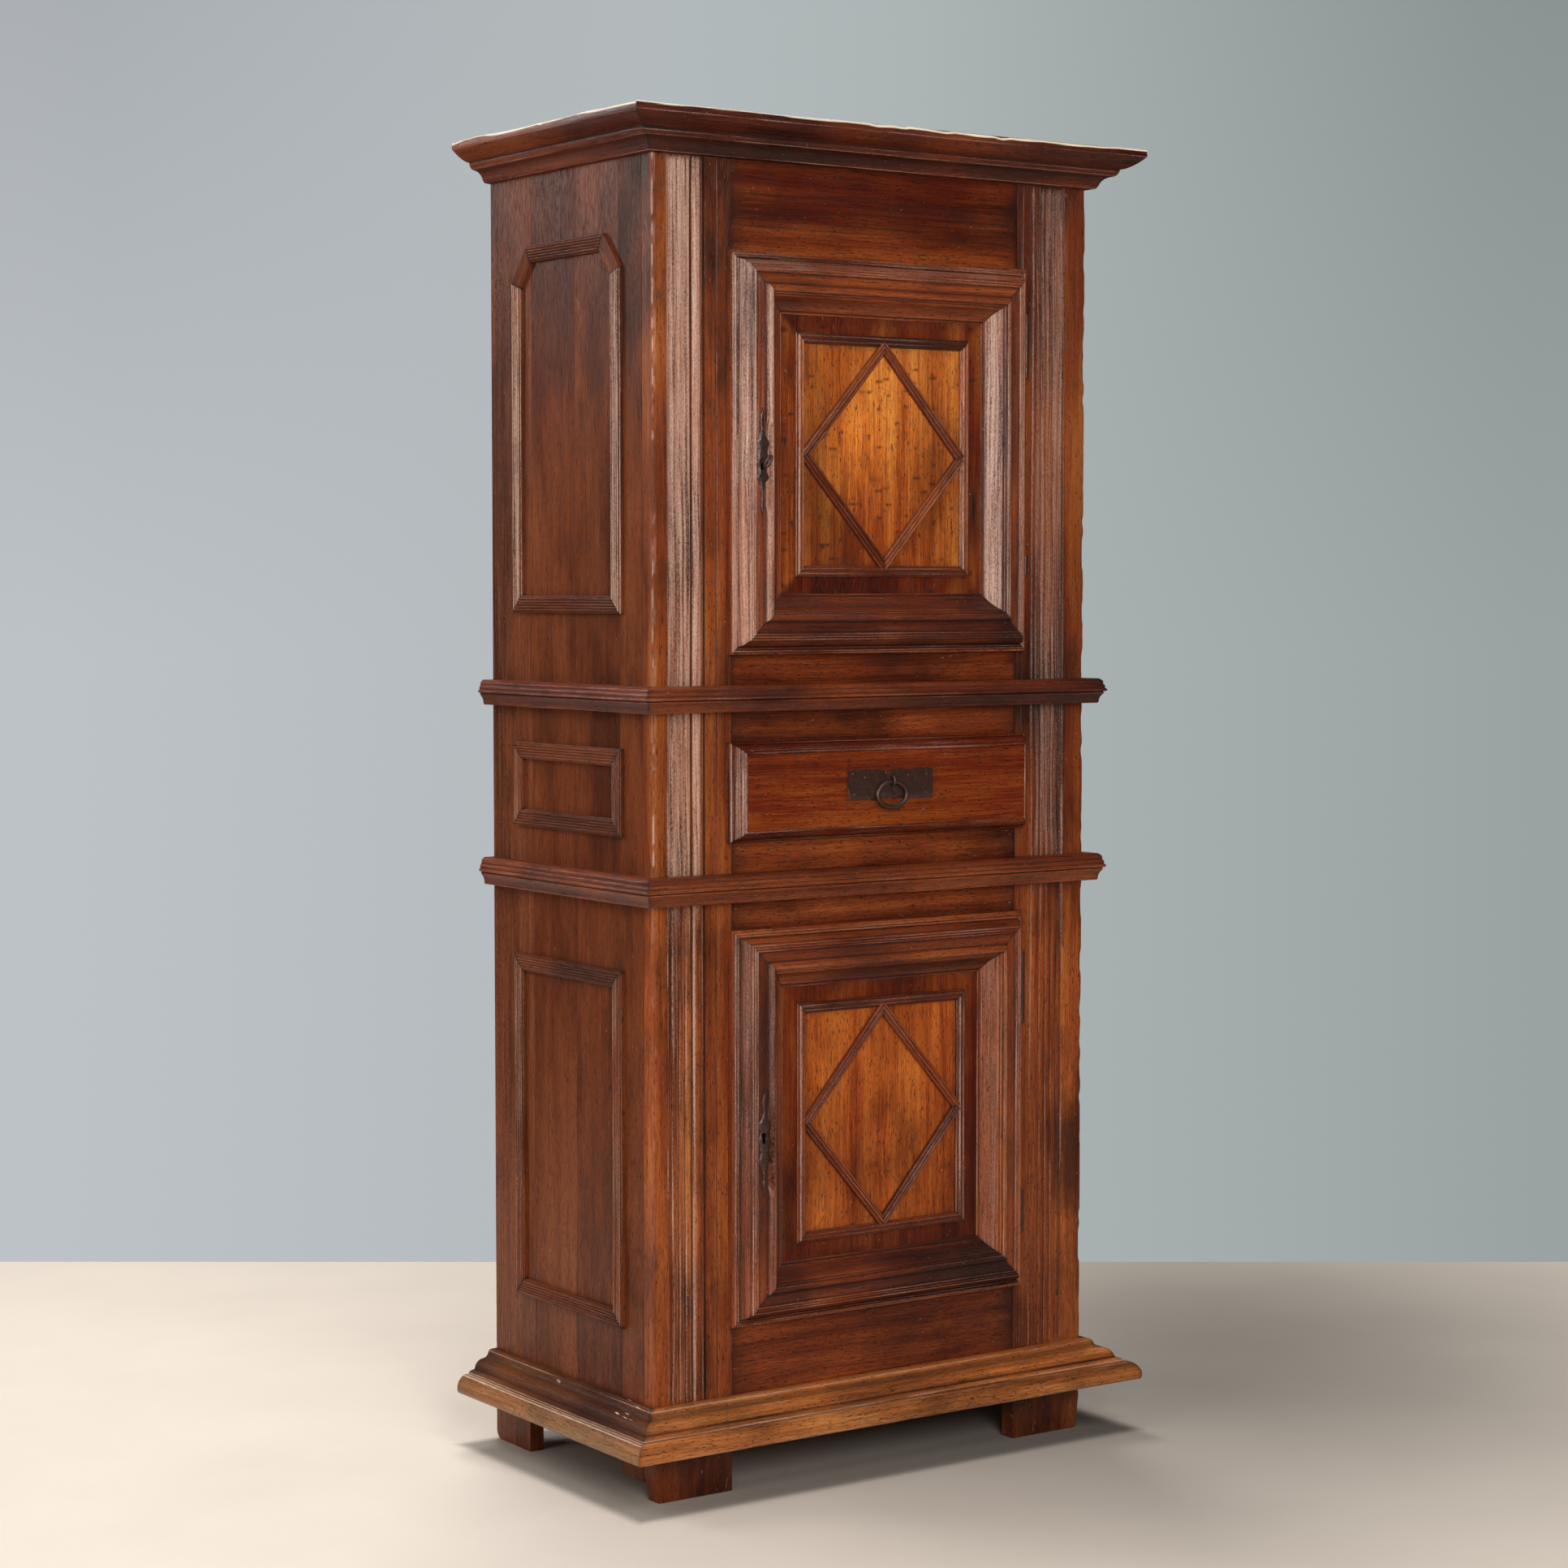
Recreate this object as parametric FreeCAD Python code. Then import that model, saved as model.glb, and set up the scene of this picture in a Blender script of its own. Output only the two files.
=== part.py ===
import FreeCAD, Part
import math
import os

# One-door-over-one-door cupboard with a drawer at the waist, in millimetres.
# X runs across the front, Y towards the back, Z up. The origin lies on the floor,
# in the middle of the overall width and depth. Left is -X.

# Carcass
carcass_width = 794.0
carcass_depth = 461.0
stile_width = 135.0
front_thickness = 28.0
side_thickness = 24.0
board_thickness = 24.0
roof_thickness = 18.0
back_thickness = 13.0
back_rebate = 12.0
back_board_gap = 0.4
back_board_count = 4
roof_board_count = 3
base_board_bottom = 95.0

# Front openings and the rails between them, bottom to top
lower_opening_bottom = 254.0
lower_opening_height = 563.0
lower_waist_rail_height = 148.5
drawer_opening_height = 125.5
upper_waist_rail_height = 147.0
upper_opening_height = 561.0
top_rail_height = 183.0

# Boards of the sides, as seen from the side, front to back
wing_depth = 62.0
wing_bottom = 27.0
plank_depth = 124.5
rear_foot_setback = 18.0
rear_foot_height = 85.0
foot_corner_radius = 14.0

# Joints of the frame
tenon_length = 60.0
tenon_thickness = 9.0
tenon_shoulder = 14.0
joint_play = 0.2
overrun = 2.0

# Sunk reeded channel down each stile
channel_width = 54.0
channel_depth = 6.0
channel_cove = 12.0
channel_cove_middle_share = 0.3
channel_cove_fall_share = 0.7
channel_inset_left = 26.0
channel_inset_right = 46.0
channel_bottom = 152.0
channel_top_gap = 78.0
channel_reed_count = 3
channel_reed_height = 2.5

# Run mouldings round the carcass; each waist moulding rises from its rail's bottom edge
cornice_height = 61.0
cornice_projection = 67.0
upper_waist_rise = 54.0
upper_waist_height = 39.0
lower_waist_rise = 51.0
lower_waist_height = 42.5
waist_projection = 27.0
base_moulding_height = 34.0
base_moulding_projection = 50.0
rim_bottom = 80.0
rim_height = 28.0
rim_projection = 70.0

# Their sections: share of the projection, share of the height, with m on a point
# in the middle of an arc
cornice_shares = [(0, 0), (0.16, 0.01), (0.21, 0.10), (0.288, 0.241, "m"), (0.45, 0.31),
                  (0.49, 0.33), (0.55, 0.43), (0.55, 0.49), (0.61, 0.49),
                  (0.85, 0.64, "m"), (1, 0.80), (1, 1), (0, 1)]
waist_shares = [(0, 0), (0.66, 0), (0.75, 0.07), (0.84, 0.26), (0.94, 0.37), (1, 0.54),
                (0.95, 0.63, "m"), (0.86, 0.72), (0.80, 0.85), (0.66, 1), (0, 1)]
base_shares = [(0, 0), (1, 0), (1, 0.06), (0.92, 0.13), (0.78, 0.18), (0.71, 0.44, "m"),
               (0.46, 0.62), (0.35, 0.70, "m"), (0.30, 0.84), (0.28, 0.94), (0.18, 1), (0, 1)]
rim_shares = [(0, 0), (0.97, 0), (1, 0.15), (1, 0.36), (0.935, 0.75, "m"), (0.81, 1), (0, 1)]

# Applied reeded frames on each side, placed from the ends of the openings beside them
side_strip_width = 26.0
side_strip_height = 8.5
side_strip_reeds = 5
side_strip_fillet = 2.5
side_frame_front_gap = 78.0
side_frame_rear_gap = 73.0
lower_side_frame_drop = 11.0
lower_side_frame_top_gap = 48.0
middle_side_frame_drop = 1.5
middle_side_frame_top_rise = 1.0
upper_side_frame_rise = 49.0
upper_side_frame_top_rise = 37.0
side_cant_depth = 45.0
side_cant_height = 53.0

# Doors: a rebated frame that laps onto the stiles and rails
upper_lap_side = 9.5
lower_lap_side = 6.5
door_lap_height = 10.0
door_side_gap = 2.0
door_face = 10.5
door_back = 18.0
door_lip_gap = 0.3
door_frame_width = 86.0
door_tenon_length = 50.0
door_tenon_thickness = 8.0

# Door panel, held in a groove
panel_groove = 10.0
panel_play = 1.0
tongue_front = 2.0
tongue_thickness = 8.0

# Bold applied moulding on the door: start, width, height, and its flat for the lock plate
moulding_start = 11.0
moulding_width = 77.0
moulding_height = 30.5
moulding_flat_centre_share = 0.364
moulding_flat_height_share = 0.738
moulding_shares = [(0, 0), (0, 0.08), (0.013, 0.13), (0.035, 0.40, "m"), (0.09, 0.61),
                   (0.105, 0.61), (0.117, 0.74), (0.141, 0.80, "m"), (0.165, 0.76),
                   (0.189, 0.82, "m"), (0.213, 0.77), (0.237, 0.82, "m"), (0.261, 0.738),
                   (0.468, 0.738), (0.475, 0.82), (0.52, 0.97, "m"), (0.57, 1),
                   (0.61, 0.97), (0.61, 0.86), (0.65, 0.84), (0.65, 0.76), (0.69, 0.73),
                   (0.78, 0.37, "m"), (0.93, 0.16), (0.95, 0.05), (1, 0.05), (1, 0)]

# Small strips on the panel
panel_border = 25.0
trim_width = 13.0
trim_height = 8.0
trim_gap = 0.5
trim_shares = [(0, 0), (0, 0.55), (0.16, 0.6), (0.16, 0.85), (0.34, 1, "m"), (0.52, 0.85),
               (0.68, 0.95, "m"), (0.84, 0.6), (1, 0.4), (1, 0)]
lozenge_width = 15.0
lozenge_height = 7.0
lozenge_shares = [(0, 0), (0, 0.6), (0.17, 0.9, "m"), (0.33, 0.6), (0.5, 1, "m"),
                  (0.67, 0.6), (0.83, 0.9, "m"), (1, 0.6), (1, 0)]

# Hinges: two per door, each a lower barrel with a pin and an upper barrel
hinge_radius = 4.5
hinge_pin_radius = 2.6
pin_play = 0.05
hinge_end_play = 0.4
hinge_leaf_thickness = 2.0
hinge_leaf_length = 26.0
hinge_standoff = 0.5
hinge_notch_gap = 1.0
pin_length_share = 0.8
# The lower hinge's place from the opening's bottom and the upper one's from its top, each
# with its length
upper_door_hinges = [(106.0, 31.0), (58.0, 96.0)]
lower_door_hinges = [(72.0, 64.0), (53.0, 111.0)]

# Locks
lock_width = 66.0
lock_height = 110.0
lock_depth = 20.0
lock_wall = 2.0
lock_side_gap = 6.0
lock_rib = 3.0
lock_rib_inset = 40.0
upper_keyhole_rise = 268.0
lower_keyhole_rise = 274.0
keyhole_radius = 3.6
keyhole_slot_width = 3.6
keyhole_slot_drop = 12.0
bolt_rise = 12.0
bolt_height = 16.0
bolt_thickness = 5.0
bolt_length = 57.0
bolt_face_gap = 1.5
bolt_play = 0.3
escutcheon_width = 15.0
escutcheon_thickness = 2.0
escutcheon_length = 155.0
upper_plate_below_share = 0.5
lower_plate_below_share = 0.59
# Half width and height along the plate, from its bottom tip to its top tip
escutcheon_shares = [(0, 0), (0.22, 0.05), (0.30, 0.13), (0.20, 0.21), (0.42, 0.29),
                     (0.92, 0.35), (0.62, 0.42), (0.85, 0.47), (0.88, 0.55), (0.70, 0.60),
                     (0.95, 0.68), (0.50, 0.75), (0.24, 0.80), (0.34, 0.88), (0.24, 0.95), (0, 1)]

# Key in the upper lock
key_radius = 3.0
key_bow_wire = 2.2
key_bow_reach = 8.8
key_bow_depth = 5.8
key_bow_centre = 52.0
key_bow_angle = 60.0
key_tip_gap = 3.0
key_bit_length = 9.5
key_bit_width = 9.0
key_bit_thickness = 3.0

# Drawer
drawer_lap_side = 9.5
drawer_lap_height = 10.0
drawer_gap = 1.5
drawer_relief = 32.0
drawer_edge_width = 17.0
drawer_edge_shares = [(0, 0), (0, 0.28), (0.06, 0.36), (0.18, 0.39, "m"), (0.30, 0.34),
                      (0.34, 0.50), (0.46, 0.78, "m"), (0.70, 0.90), (0.74, 0.90), (0.76, 1.0),
                      (0.87, 1.03, "m"), (0.97, 1.0), (1, 1), (1, 0)]
drawer_rebate_depth = 20.0
drawer_side_thickness = 12.0
drawer_side_lap = 12.0
drawer_back_gap = 40.0
drawer_side_drop = 4.0
drawer_floor_gap = 0.3
drawer_bottom_thickness = 8.0
drawer_bottom_rise = 6.0
drawer_groove = 6.0
drawer_back_drop = 16.0

# Runners and shelf bearers inside
guide_width = 22.0
guide_height = 22.0
guide_gap = 0.5
kicker_width = 47.0
bearer_width = 22.0
bearer_height = 25.0
shelf_thickness = 20.0
shelf_setback = 40.0
shelf_side_play = 0.5
shelf_rise_share = 0.5

# Iron drop handle on the drawer
plate_width = 156.0
plate_height = 47.0
plate_thickness = 2.0
plate_rise = 5.0
plate_corner = 5.0
staple_wire = 1.6
staple_radius = 7.0
staple_leg = 3.0
staple_rise = 5.4
staple_tail = 14.0
ring_wire = 3.2
ring_half_width = 26.8
ring_half_height = 19.3
ring_gap = 0.4
oval_end_share = 0.8

# Derived places
half_width = carcass_width / 2
front = (rim_projection - carcass_depth) / 2
back = front + carcass_depth
front_back = front + front_thickness
inner_back = back - back_thickness
inner_half = half_width - side_thickness
opening_half = half_width - stile_width
drawer_opening_bottom = lower_opening_bottom + lower_opening_height + lower_waist_rail_height
upper_opening_bottom = drawer_opening_bottom + drawer_opening_height + upper_waist_rail_height
lower_opening_top = lower_opening_bottom + lower_opening_height
drawer_opening_top = drawer_opening_bottom + drawer_opening_height
upper_opening_top = upper_opening_bottom + upper_opening_height
roof_bottom = upper_opening_top + top_rail_height
height = roof_bottom + roof_thickness
door_surface = front - door_face
flat_surface = door_surface - moulding_height * moulding_flat_height_share
hinge_y = front - hinge_standoff - hinge_radius



def door_places(bottom, top, lap, hinges, keyhole_rise, plate_below_share):
    (low_gap, low_length), (high_gap, high_length) = hinges
    spans = [(bottom + low_gap, low_length), (top - high_gap - high_length, high_length)]
    return {"bottom": bottom, "top": top, "lap": lap, "hinges": spans,
            "keyhole": bottom + keyhole_rise, "plate_below_share": plate_below_share}


doors = {
    "upper": door_places(upper_opening_bottom, upper_opening_top, upper_lap_side,
                         upper_door_hinges, upper_keyhole_rise, upper_plate_below_share),
    "lower": door_places(lower_opening_bottom, lower_opening_top, lower_lap_side,
                         lower_door_hinges, lower_keyhole_rise, lower_plate_below_share),
}

rails = {
    "top_rail": (upper_opening_top, roof_bottom),
    "upper_waist_rail": (drawer_opening_top, upper_opening_bottom),
    "lower_waist_rail": (lower_opening_top, drawer_opening_bottom),
    "bottom_rail": (base_board_bottom, lower_opening_bottom),
}


# Basic solids

def vec(x, y, z):
    return FreeCAD.Vector(x, y, z)


def box(x_range, y_range, z_range):
    x0, x1 = sorted(x_range)
    y0, y1 = sorted(y_range)
    z0, z1 = sorted(z_range)
    return Part.makeBox(x1 - x0, y1 - y0, z1 - z0, vec(x0, y0, z0))


def grown(x_range, y_range, z_range, margin):
    spans = [sorted(span) for span in (x_range, y_range, z_range)]
    return box(*[(low - margin, high + margin) for low, high in spans])


def mirrored(shape):
    return shape.mirror(vec(0, 0, 0), vec(1, 0, 0))


def joined(shapes):
    whole = shapes[0].fuse(shapes[1:]) if len(shapes) > 1 else shapes[0]
    return whole.removeSplitter()


def cylinder(radius, start, direction, length):
    return Part.makeCylinder(radius, length, start, direction)


def section_wire(points):
    # Corners are pairs of place and vector; a point marked m is the middle of an arc
    edges = []
    index = 0
    while index < len(points):
        here = points[index][0]
        after = points[(index + 1) % len(points)]
        if after[1]:
            end = points[(index + 2) % len(points)][0]
            edges.append(Part.Arc(here, after[0], end).toShape())
            index += 2
        else:
            edges.append(Part.LineSegment(here, after[0]).toShape())
            index += 1
    return Part.Wire(edges)


def section_face(shares, across, up, place):
    # place turns a distance across and a distance up into a point of the section's plane
    points = [(place(item[0] * across, item[1] * up), len(item) > 2) for item in shares]
    return Part.Face(section_wire(points))


def prism(corners, direction):
    return Part.Face(Part.makePolygon(corners + corners[:1])).extrude(direction)


# Mouldings that run round the front and both sides of the carcass, mitred at the front

def carcass_moulding(shares, projection, bottom, tall):
    reach = projection + overrun
    z_low = bottom - overrun
    lift = vec(0, 0, tall + 2 * overrun)
    corner = vec(half_width, front, z_low)
    outer = vec(half_width + reach, front - reach, z_low)
    front_face = section_face(shares, projection, tall,
                              lambda out, up: vec(-half_width - reach, front - out, bottom + up))
    front_run = front_face.extrude(vec(2 * (half_width + reach), 0, 0))
    front_plan = prism([vec(-half_width, front, z_low), corner, outer,
                        vec(-half_width - reach, front - reach, z_low)], lift)
    side_face = section_face(shares, projection, tall,
                             lambda out, up: vec(half_width + out, front - reach, bottom + up))
    side_run = side_face.extrude(vec(0, carcass_depth + reach, 0))
    side_plan = prism([corner, vec(half_width, back, z_low),
                       vec(half_width + reach, back, z_low), outer], lift)
    side_piece = side_run.common(side_plan)
    return [front_run.common(front_plan), side_piece, mirrored(side_piece)]


# Mitred frames on a flat face: u and v lie in the face and w stands out of it

def frame_plan(corners, width):
    inner = []
    count = len(corners)
    for index in range(count):
        before = (corners[index] - corners[index - 1]).normalize()
        after = (corners[(index + 1) % count] - corners[index]).normalize()
        first = vec(-before.y, before.x, 0)
        second = vec(-after.y, after.x, 0)
        inner.append(corners[index] + (first + second) * (width / (1 + first.dot(second))))
    return inner


def mitred_frame(corners, shares, width, tall):
    inner = frame_plan(corners, width)
    pieces = []
    for index, start in enumerate(corners):
        following = (index + 1) % len(corners)
        along = corners[following] - start
        unit = vec(along.x, along.y, 0).normalize()
        inward = vec(-unit.y, unit.x, 0)
        origin = start - unit * overrun
        face = section_face(shares, width, tall,
                            lambda across, up: origin + inward * across + vec(0, 0, up))
        run = face.extrude(along + unit * (2 * overrun))
        plan = prism([start, corners[following], inner[following], inner[index]],
                     vec(0, 0, 2 * tall))
        pieces.append(run.common(plan))
    return pieces


def onto_front(shape, surface_y):
    # u to the right, v up, w towards the viewer
    turned = shape.copy()
    turned.rotate(vec(0, 0, 0), vec(1, 0, 0), 90)
    turned.translate(vec(0, surface_y, 0))
    return turned


def onto_right_side(shape, surface_x):
    # u towards the back, v up, w to the right
    turned = shape.copy()
    turned.rotate(vec(0, 0, 0), vec(1, 1, 1), 120)
    turned.translate(vec(surface_x, 0, 0))
    return turned


def rectangle(u_range, v_range):
    return [vec(u_range[0], v_range[0], 0), vec(u_range[1], v_range[0], 0),
            vec(u_range[1], v_range[1], 0), vec(u_range[0], v_range[1], 0)]


# Carcass

def tenon_spans(z_range, side):
    x_range = (side * opening_half, side * (opening_half + tenon_length))
    y_start = front + (front_thickness - tenon_thickness) / 2
    y_range = (y_start, y_start + tenon_thickness)
    return x_range, y_range, (z_range[0] + tenon_shoulder, z_range[1] - tenon_shoulder)


def rail(z_range):
    board = box((-opening_half, opening_half), (front, front_back), z_range)
    return joined([board] + [box(*tenon_spans(z_range, side)) for side in (-1, 1)])


def channel_shares():
    # The floor of the channel, in shares of its width and depth, rises in a few reeds
    cove = channel_cove / channel_width
    reed = (1 - 2 * cove) / channel_reed_count
    crest = 1 - channel_reed_height / channel_depth
    middle = cove * channel_cove_middle_share
    points = [(0, 0), (middle, channel_cove_fall_share, "m"), (cove, 1)]
    for index in range(channel_reed_count):
        left = cove + index * reed
        points.append((left + reed / 2, crest, "m"))
        points.append((left + reed, 1))
    points.append((1 - middle, channel_cove_fall_share, "m"))
    points.append((1, 0))
    points.append((1, -1))
    points.append((0, -1))
    return points


def channel_cut(x_start):
    top = roof_bottom - channel_top_gap
    face = section_face(channel_shares(), channel_width, channel_depth,
                        lambda across, deep: vec(x_start + across, front + deep, channel_bottom))
    run = face.extrude(vec(0, 0, top - channel_bottom))
    # Both ends slope up to the face of the stile
    deepest = 2 * channel_depth
    x_low = x_start - overrun
    ends = prism([vec(x_low, front - deepest, channel_bottom),
                  vec(x_low, front, channel_bottom),
                  vec(x_low, front + deepest, channel_bottom + deepest),
                  vec(x_low, front + deepest, top - deepest),
                  vec(x_low, front, top),
                  vec(x_low, front - deepest, top)], vec(channel_width + 2 * overrun, 0, 0))
    return run.common(ends)


def hinge_x(door):
    return opening_half + door["lap"] + hinge_radius


def frame_leaf_spans(door, bottom, tall):
    middle = hinge_x(door)
    half = hinge_leaf_thickness / 2
    leaf_top = bottom + (tall - hinge_end_play) / 2
    return (middle - half, middle + half), (hinge_y, hinge_y + hinge_leaf_length), (bottom, leaf_top)


def front_stile(side):
    stile = box((side * opening_half, side * half_width), (front, front_back), (0, roof_bottom))
    if side < 0:
        stile = stile.cut(channel_cut(-half_width + channel_inset_left))
    else:
        stile = stile.cut(channel_cut(half_width - channel_inset_right - channel_width))
    for z_range in rails.values():
        stile = stile.cut(grown(*tenon_spans(z_range, side), joint_play))
    if side > 0:
        for door in doors.values():
            for bottom, tall in door["hinges"]:
                stile = stile.cut(grown(*frame_leaf_spans(door, bottom, tall), joint_play))
    return stile


def side_front_board(side):
    return box((side * inner_half, side * half_width), (front_back, front_back + wing_depth),
               (wing_bottom, roof_bottom))


def side_planks(side):
    start = front_back + wing_depth
    x_range = (side * inner_half, side * half_width)
    return [box(x_range, (start + index * plank_depth, start + (index + 1) * plank_depth),
                (base_board_bottom, roof_bottom)) for index in range(2)]


def rear_post(side):
    post_front = front_back + wing_depth + 2 * plank_depth
    post = box((side * inner_half, side * half_width), (post_front, back), (0, roof_bottom))
    x_range = (side * (inner_half - overrun), side * (half_width + overrun))
    post = post.cut(box(x_range, (post_front - overrun, post_front + rear_foot_setback),
                        (-overrun, rear_foot_height)))
    rebate = box((side * (inner_half - overrun), side * (inner_half + back_rebate)),
                 (inner_back, back + overrun), (base_board_bottom, roof_bottom + overrun))
    post = post.cut(rebate)
    corner = box(x_range, (back - foot_corner_radius, back + overrun), (-overrun, foot_corner_radius))
    x_start = min(x_range)
    round_off = cylinder(foot_corner_radius, vec(x_start, back - foot_corner_radius,
                                                 foot_corner_radius), vec(1, 0, 0),
                         side_thickness + 2 * overrun)
    return post.cut(corner.cut(round_off))


def back_boards():
    span = 2 * (inner_half + back_rebate)
    width = (span - (back_board_count - 1) * back_board_gap) / back_board_count
    boards = []
    for index in range(back_board_count):
        x_low = -span / 2 + index * (width + back_board_gap)
        boards.append(box((x_low, x_low + width), (inner_back, back),
                          (base_board_bottom, roof_bottom)))
    return boards


def roof_boards():
    depth = carcass_depth / roof_board_count
    return [box((-half_width, half_width), (front + index * depth, front + (index + 1) * depth),
                (roof_bottom, height)) for index in range(roof_board_count)]


def floor_board(top):
    return box((-inner_half, inner_half), (front_back, inner_back), (top - board_thickness, top))


def shelf_height(door):
    return door["bottom"] + (door["top"] - door["bottom"]) * shelf_rise_share


def shelf(door):
    half = inner_half - shelf_side_play
    z_low = shelf_height(door)
    return box((-half, half), (front_back + shelf_setback, inner_back), (z_low, z_low + shelf_thickness))


def shelf_bearers():
    pieces = []
    for door in doors.values():
        top = shelf_height(door)
        for side in (-1, 1):
            pieces.append(box((side * (inner_half - bearer_width), side * inner_half),
                              (front_back, inner_back), (top - bearer_height, top)))
    return pieces


def drawer_guides():
    pieces = []
    guide_inner = opening_half - drawer_gap + guide_gap
    for side in (-1, 1):
        outer = side * (guide_inner + guide_width)
        pieces.append(box((side * guide_inner, outer), (front_back, inner_back),
                          (drawer_opening_bottom, drawer_opening_bottom + guide_height)))
        pieces.append(box((outer - side * kicker_width, outer), (front_back, inner_back),
                          (drawer_opening_top, drawer_opening_top + guide_height)))
    return pieces


# Reeded frames on the sides

def reed_shares(count, fillet, width, tall):
    edge = fillet / width
    reed = (1 - 2 * edge) / count
    valley = 1 - reed * width / (2 * tall)
    points = [(0, 0), (0, valley), (edge, valley)]
    for index in range(count):
        points.append((edge + (index + 0.5) * reed, 1, "m"))
        points.append((edge + (index + 1) * reed, valley))
    return points + [(1, valley), (1, 0)]


def side_moulding(side):
    shares = reed_shares(side_strip_reeds, side_strip_fillet, side_strip_width, side_strip_height)
    y_low = front + side_frame_front_gap
    y_high = back - side_frame_rear_gap
    frames = [rectangle((y_low, y_high), z_range) for z_range in (
        (lower_opening_bottom - lower_side_frame_drop, lower_opening_top - lower_side_frame_top_gap),
        (drawer_opening_bottom - middle_side_frame_drop,
         drawer_opening_top + middle_side_frame_top_rise))]
    bottom = upper_opening_bottom + upper_side_frame_rise
    top = upper_opening_top + upper_side_frame_top_rise
    frames.append([vec(y_low, bottom, 0), vec(y_high, bottom, 0),
                   vec(y_high, top - side_cant_height, 0), vec(y_high - side_cant_depth, top, 0),
                   vec(y_low + side_cant_depth, top, 0), vec(y_low, top - side_cant_height, 0)])
    pieces = []
    for corners in frames:
        for piece in mitred_frame(corners, shares, side_strip_width, side_strip_height):
            placed = onto_right_side(piece, half_width)
            pieces.append(placed if side > 0 else mirrored(placed))
    return pieces


# Hinges

def frame_hinge(door, bottom, tall):
    middle = hinge_x(door)
    half = (tall - hinge_end_play) / 2
    barrel = cylinder(hinge_radius, vec(middle, hinge_y, bottom), vec(0, 0, 1), half)
    pin = cylinder(hinge_pin_radius, vec(middle, hinge_y, bottom), vec(0, 0, 1),
                   half + half * pin_length_share)
    return joined([barrel, pin, box(*frame_leaf_spans(door, bottom, tall))])


def door_leaf_spans(door, bottom, tall):
    middle = hinge_x(door)
    half = hinge_leaf_thickness / 2
    leaf_bottom = bottom + (tall + hinge_end_play) / 2
    return (middle - hinge_leaf_length, middle), (hinge_y - half, hinge_y + half), (leaf_bottom,
                                                                                    bottom + tall)


def door_hinge(door, bottom, tall):
    middle = hinge_x(door)
    leaf = box(*door_leaf_spans(door, bottom, tall))
    half = (tall - hinge_end_play) / 2
    start = vec(middle, hinge_y, bottom + half + hinge_end_play)
    barrel = cylinder(hinge_radius, start, vec(0, 0, 1), half)
    bore = cylinder(hinge_pin_radius + pin_play, start - vec(0, 0, overrun), vec(0, 0, 1),
                    half * pin_length_share + overrun + hinge_end_play)
    return joined([barrel, leaf]).cut(bore)


def frame_hinges():
    return [frame_hinge(door, bottom, tall) for door in doors.values()
            for bottom, tall in door["hinges"]]


# Doors

def door_edges(door):
    half = opening_half + door["lap"]
    return half, door["bottom"] - door_lap_height, door["top"] + door_lap_height


def keyhole_x(door):
    half = door_edges(door)[0]
    return -half + moulding_start + moulding_width * moulding_flat_centre_share


def keyhole(door):
    x = keyhole_x(door)
    z = door["keyhole"]
    start = vec(x, door_surface - moulding_height - overrun, z)
    depth = moulding_height + door_face + door_back + 2 * overrun
    hole = cylinder(keyhole_radius, start, vec(0, 1, 0), depth)
    slot = box((x - keyhole_slot_width / 2, x + keyhole_slot_width / 2),
               (start.y, start.y + depth), (z - keyhole_slot_drop, z))
    return joined([hole, slot])


def rebated(x_range, z_range, door):
    # The lip lies on the frame of the carcass, and the body passes into the opening
    body_half = opening_half - door_side_gap
    lip = box(x_range, (door_surface, front - door_lip_gap), z_range)
    low = max(min(x_range), -body_half)
    high = min(max(x_range), body_half)
    z_low = max(z_range[0], door["bottom"] + door_side_gap)
    z_high = min(z_range[1], door["top"] - door_side_gap)
    return joined([lip, box((low, high), (door_surface, front + door_back), (z_low, z_high))])


def panel_spans(door, reach):
    half, low, high = door_edges(door)
    inner = half - door_frame_width + reach
    return (-inner, inner), (low + door_frame_width - reach, high - door_frame_width + reach)


def panel_tongue(door, margin):
    x_range, z_range = panel_spans(door, panel_groove)
    y_low = front - tongue_front
    tongue = (x_range, (y_low, y_low + tongue_thickness), z_range)
    return grown(*tongue, margin)


def door_tenon(door, side, upper_end):
    half, low, high = door_edges(door)
    root = side * (half - door_frame_width)
    y_low = front + (door_back - door_tenon_thickness) / 2
    z_low = high - door_frame_width + panel_groove if upper_end else low + tenon_shoulder
    z_high = high - tenon_shoulder if upper_end else low + door_frame_width - panel_groove
    return (root, root + side * door_tenon_length), (y_low, y_low + door_tenon_thickness), (z_low, z_high)


def door_stile(door, side):
    half, low, high = door_edges(door)
    stile = rebated((side * (half - door_frame_width), side * half), (low, high), door)
    stile = stile.cut(panel_tongue(door, joint_play))
    for upper_end in (False, True):
        stile = stile.cut(grown(*door_tenon(door, side, upper_end), joint_play))
    if side < 0:
        return stile.cut(keyhole(door))
    for bottom, tall in door["hinges"]:
        notch = cylinder(hinge_radius + hinge_notch_gap,
                         vec(hinge_x(door), hinge_y, bottom - hinge_notch_gap), vec(0, 0, 1),
                         tall + 2 * hinge_notch_gap)
        stile = stile.cut(notch)
        stile = stile.cut(grown(*door_leaf_spans(door, bottom, tall), joint_play))
    return stile


def door_rail(door, upper_end):
    half, low, high = door_edges(door)
    z_range = (high - door_frame_width, high) if upper_end else (low, low + door_frame_width)
    inner = half - door_frame_width
    board = rebated((-inner, inner), z_range, door)
    tenons = [box(*door_tenon(door, side, upper_end)) for side in (-1, 1)]
    return joined([board] + tenons).cut(panel_tongue(door, joint_play))


def door_panel(door):
    x_range, z_range = panel_spans(door, -panel_play)
    field = box(x_range, (door_surface, front - tongue_front + tongue_thickness), z_range)
    return joined([field, panel_tongue(door, 0)])


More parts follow.
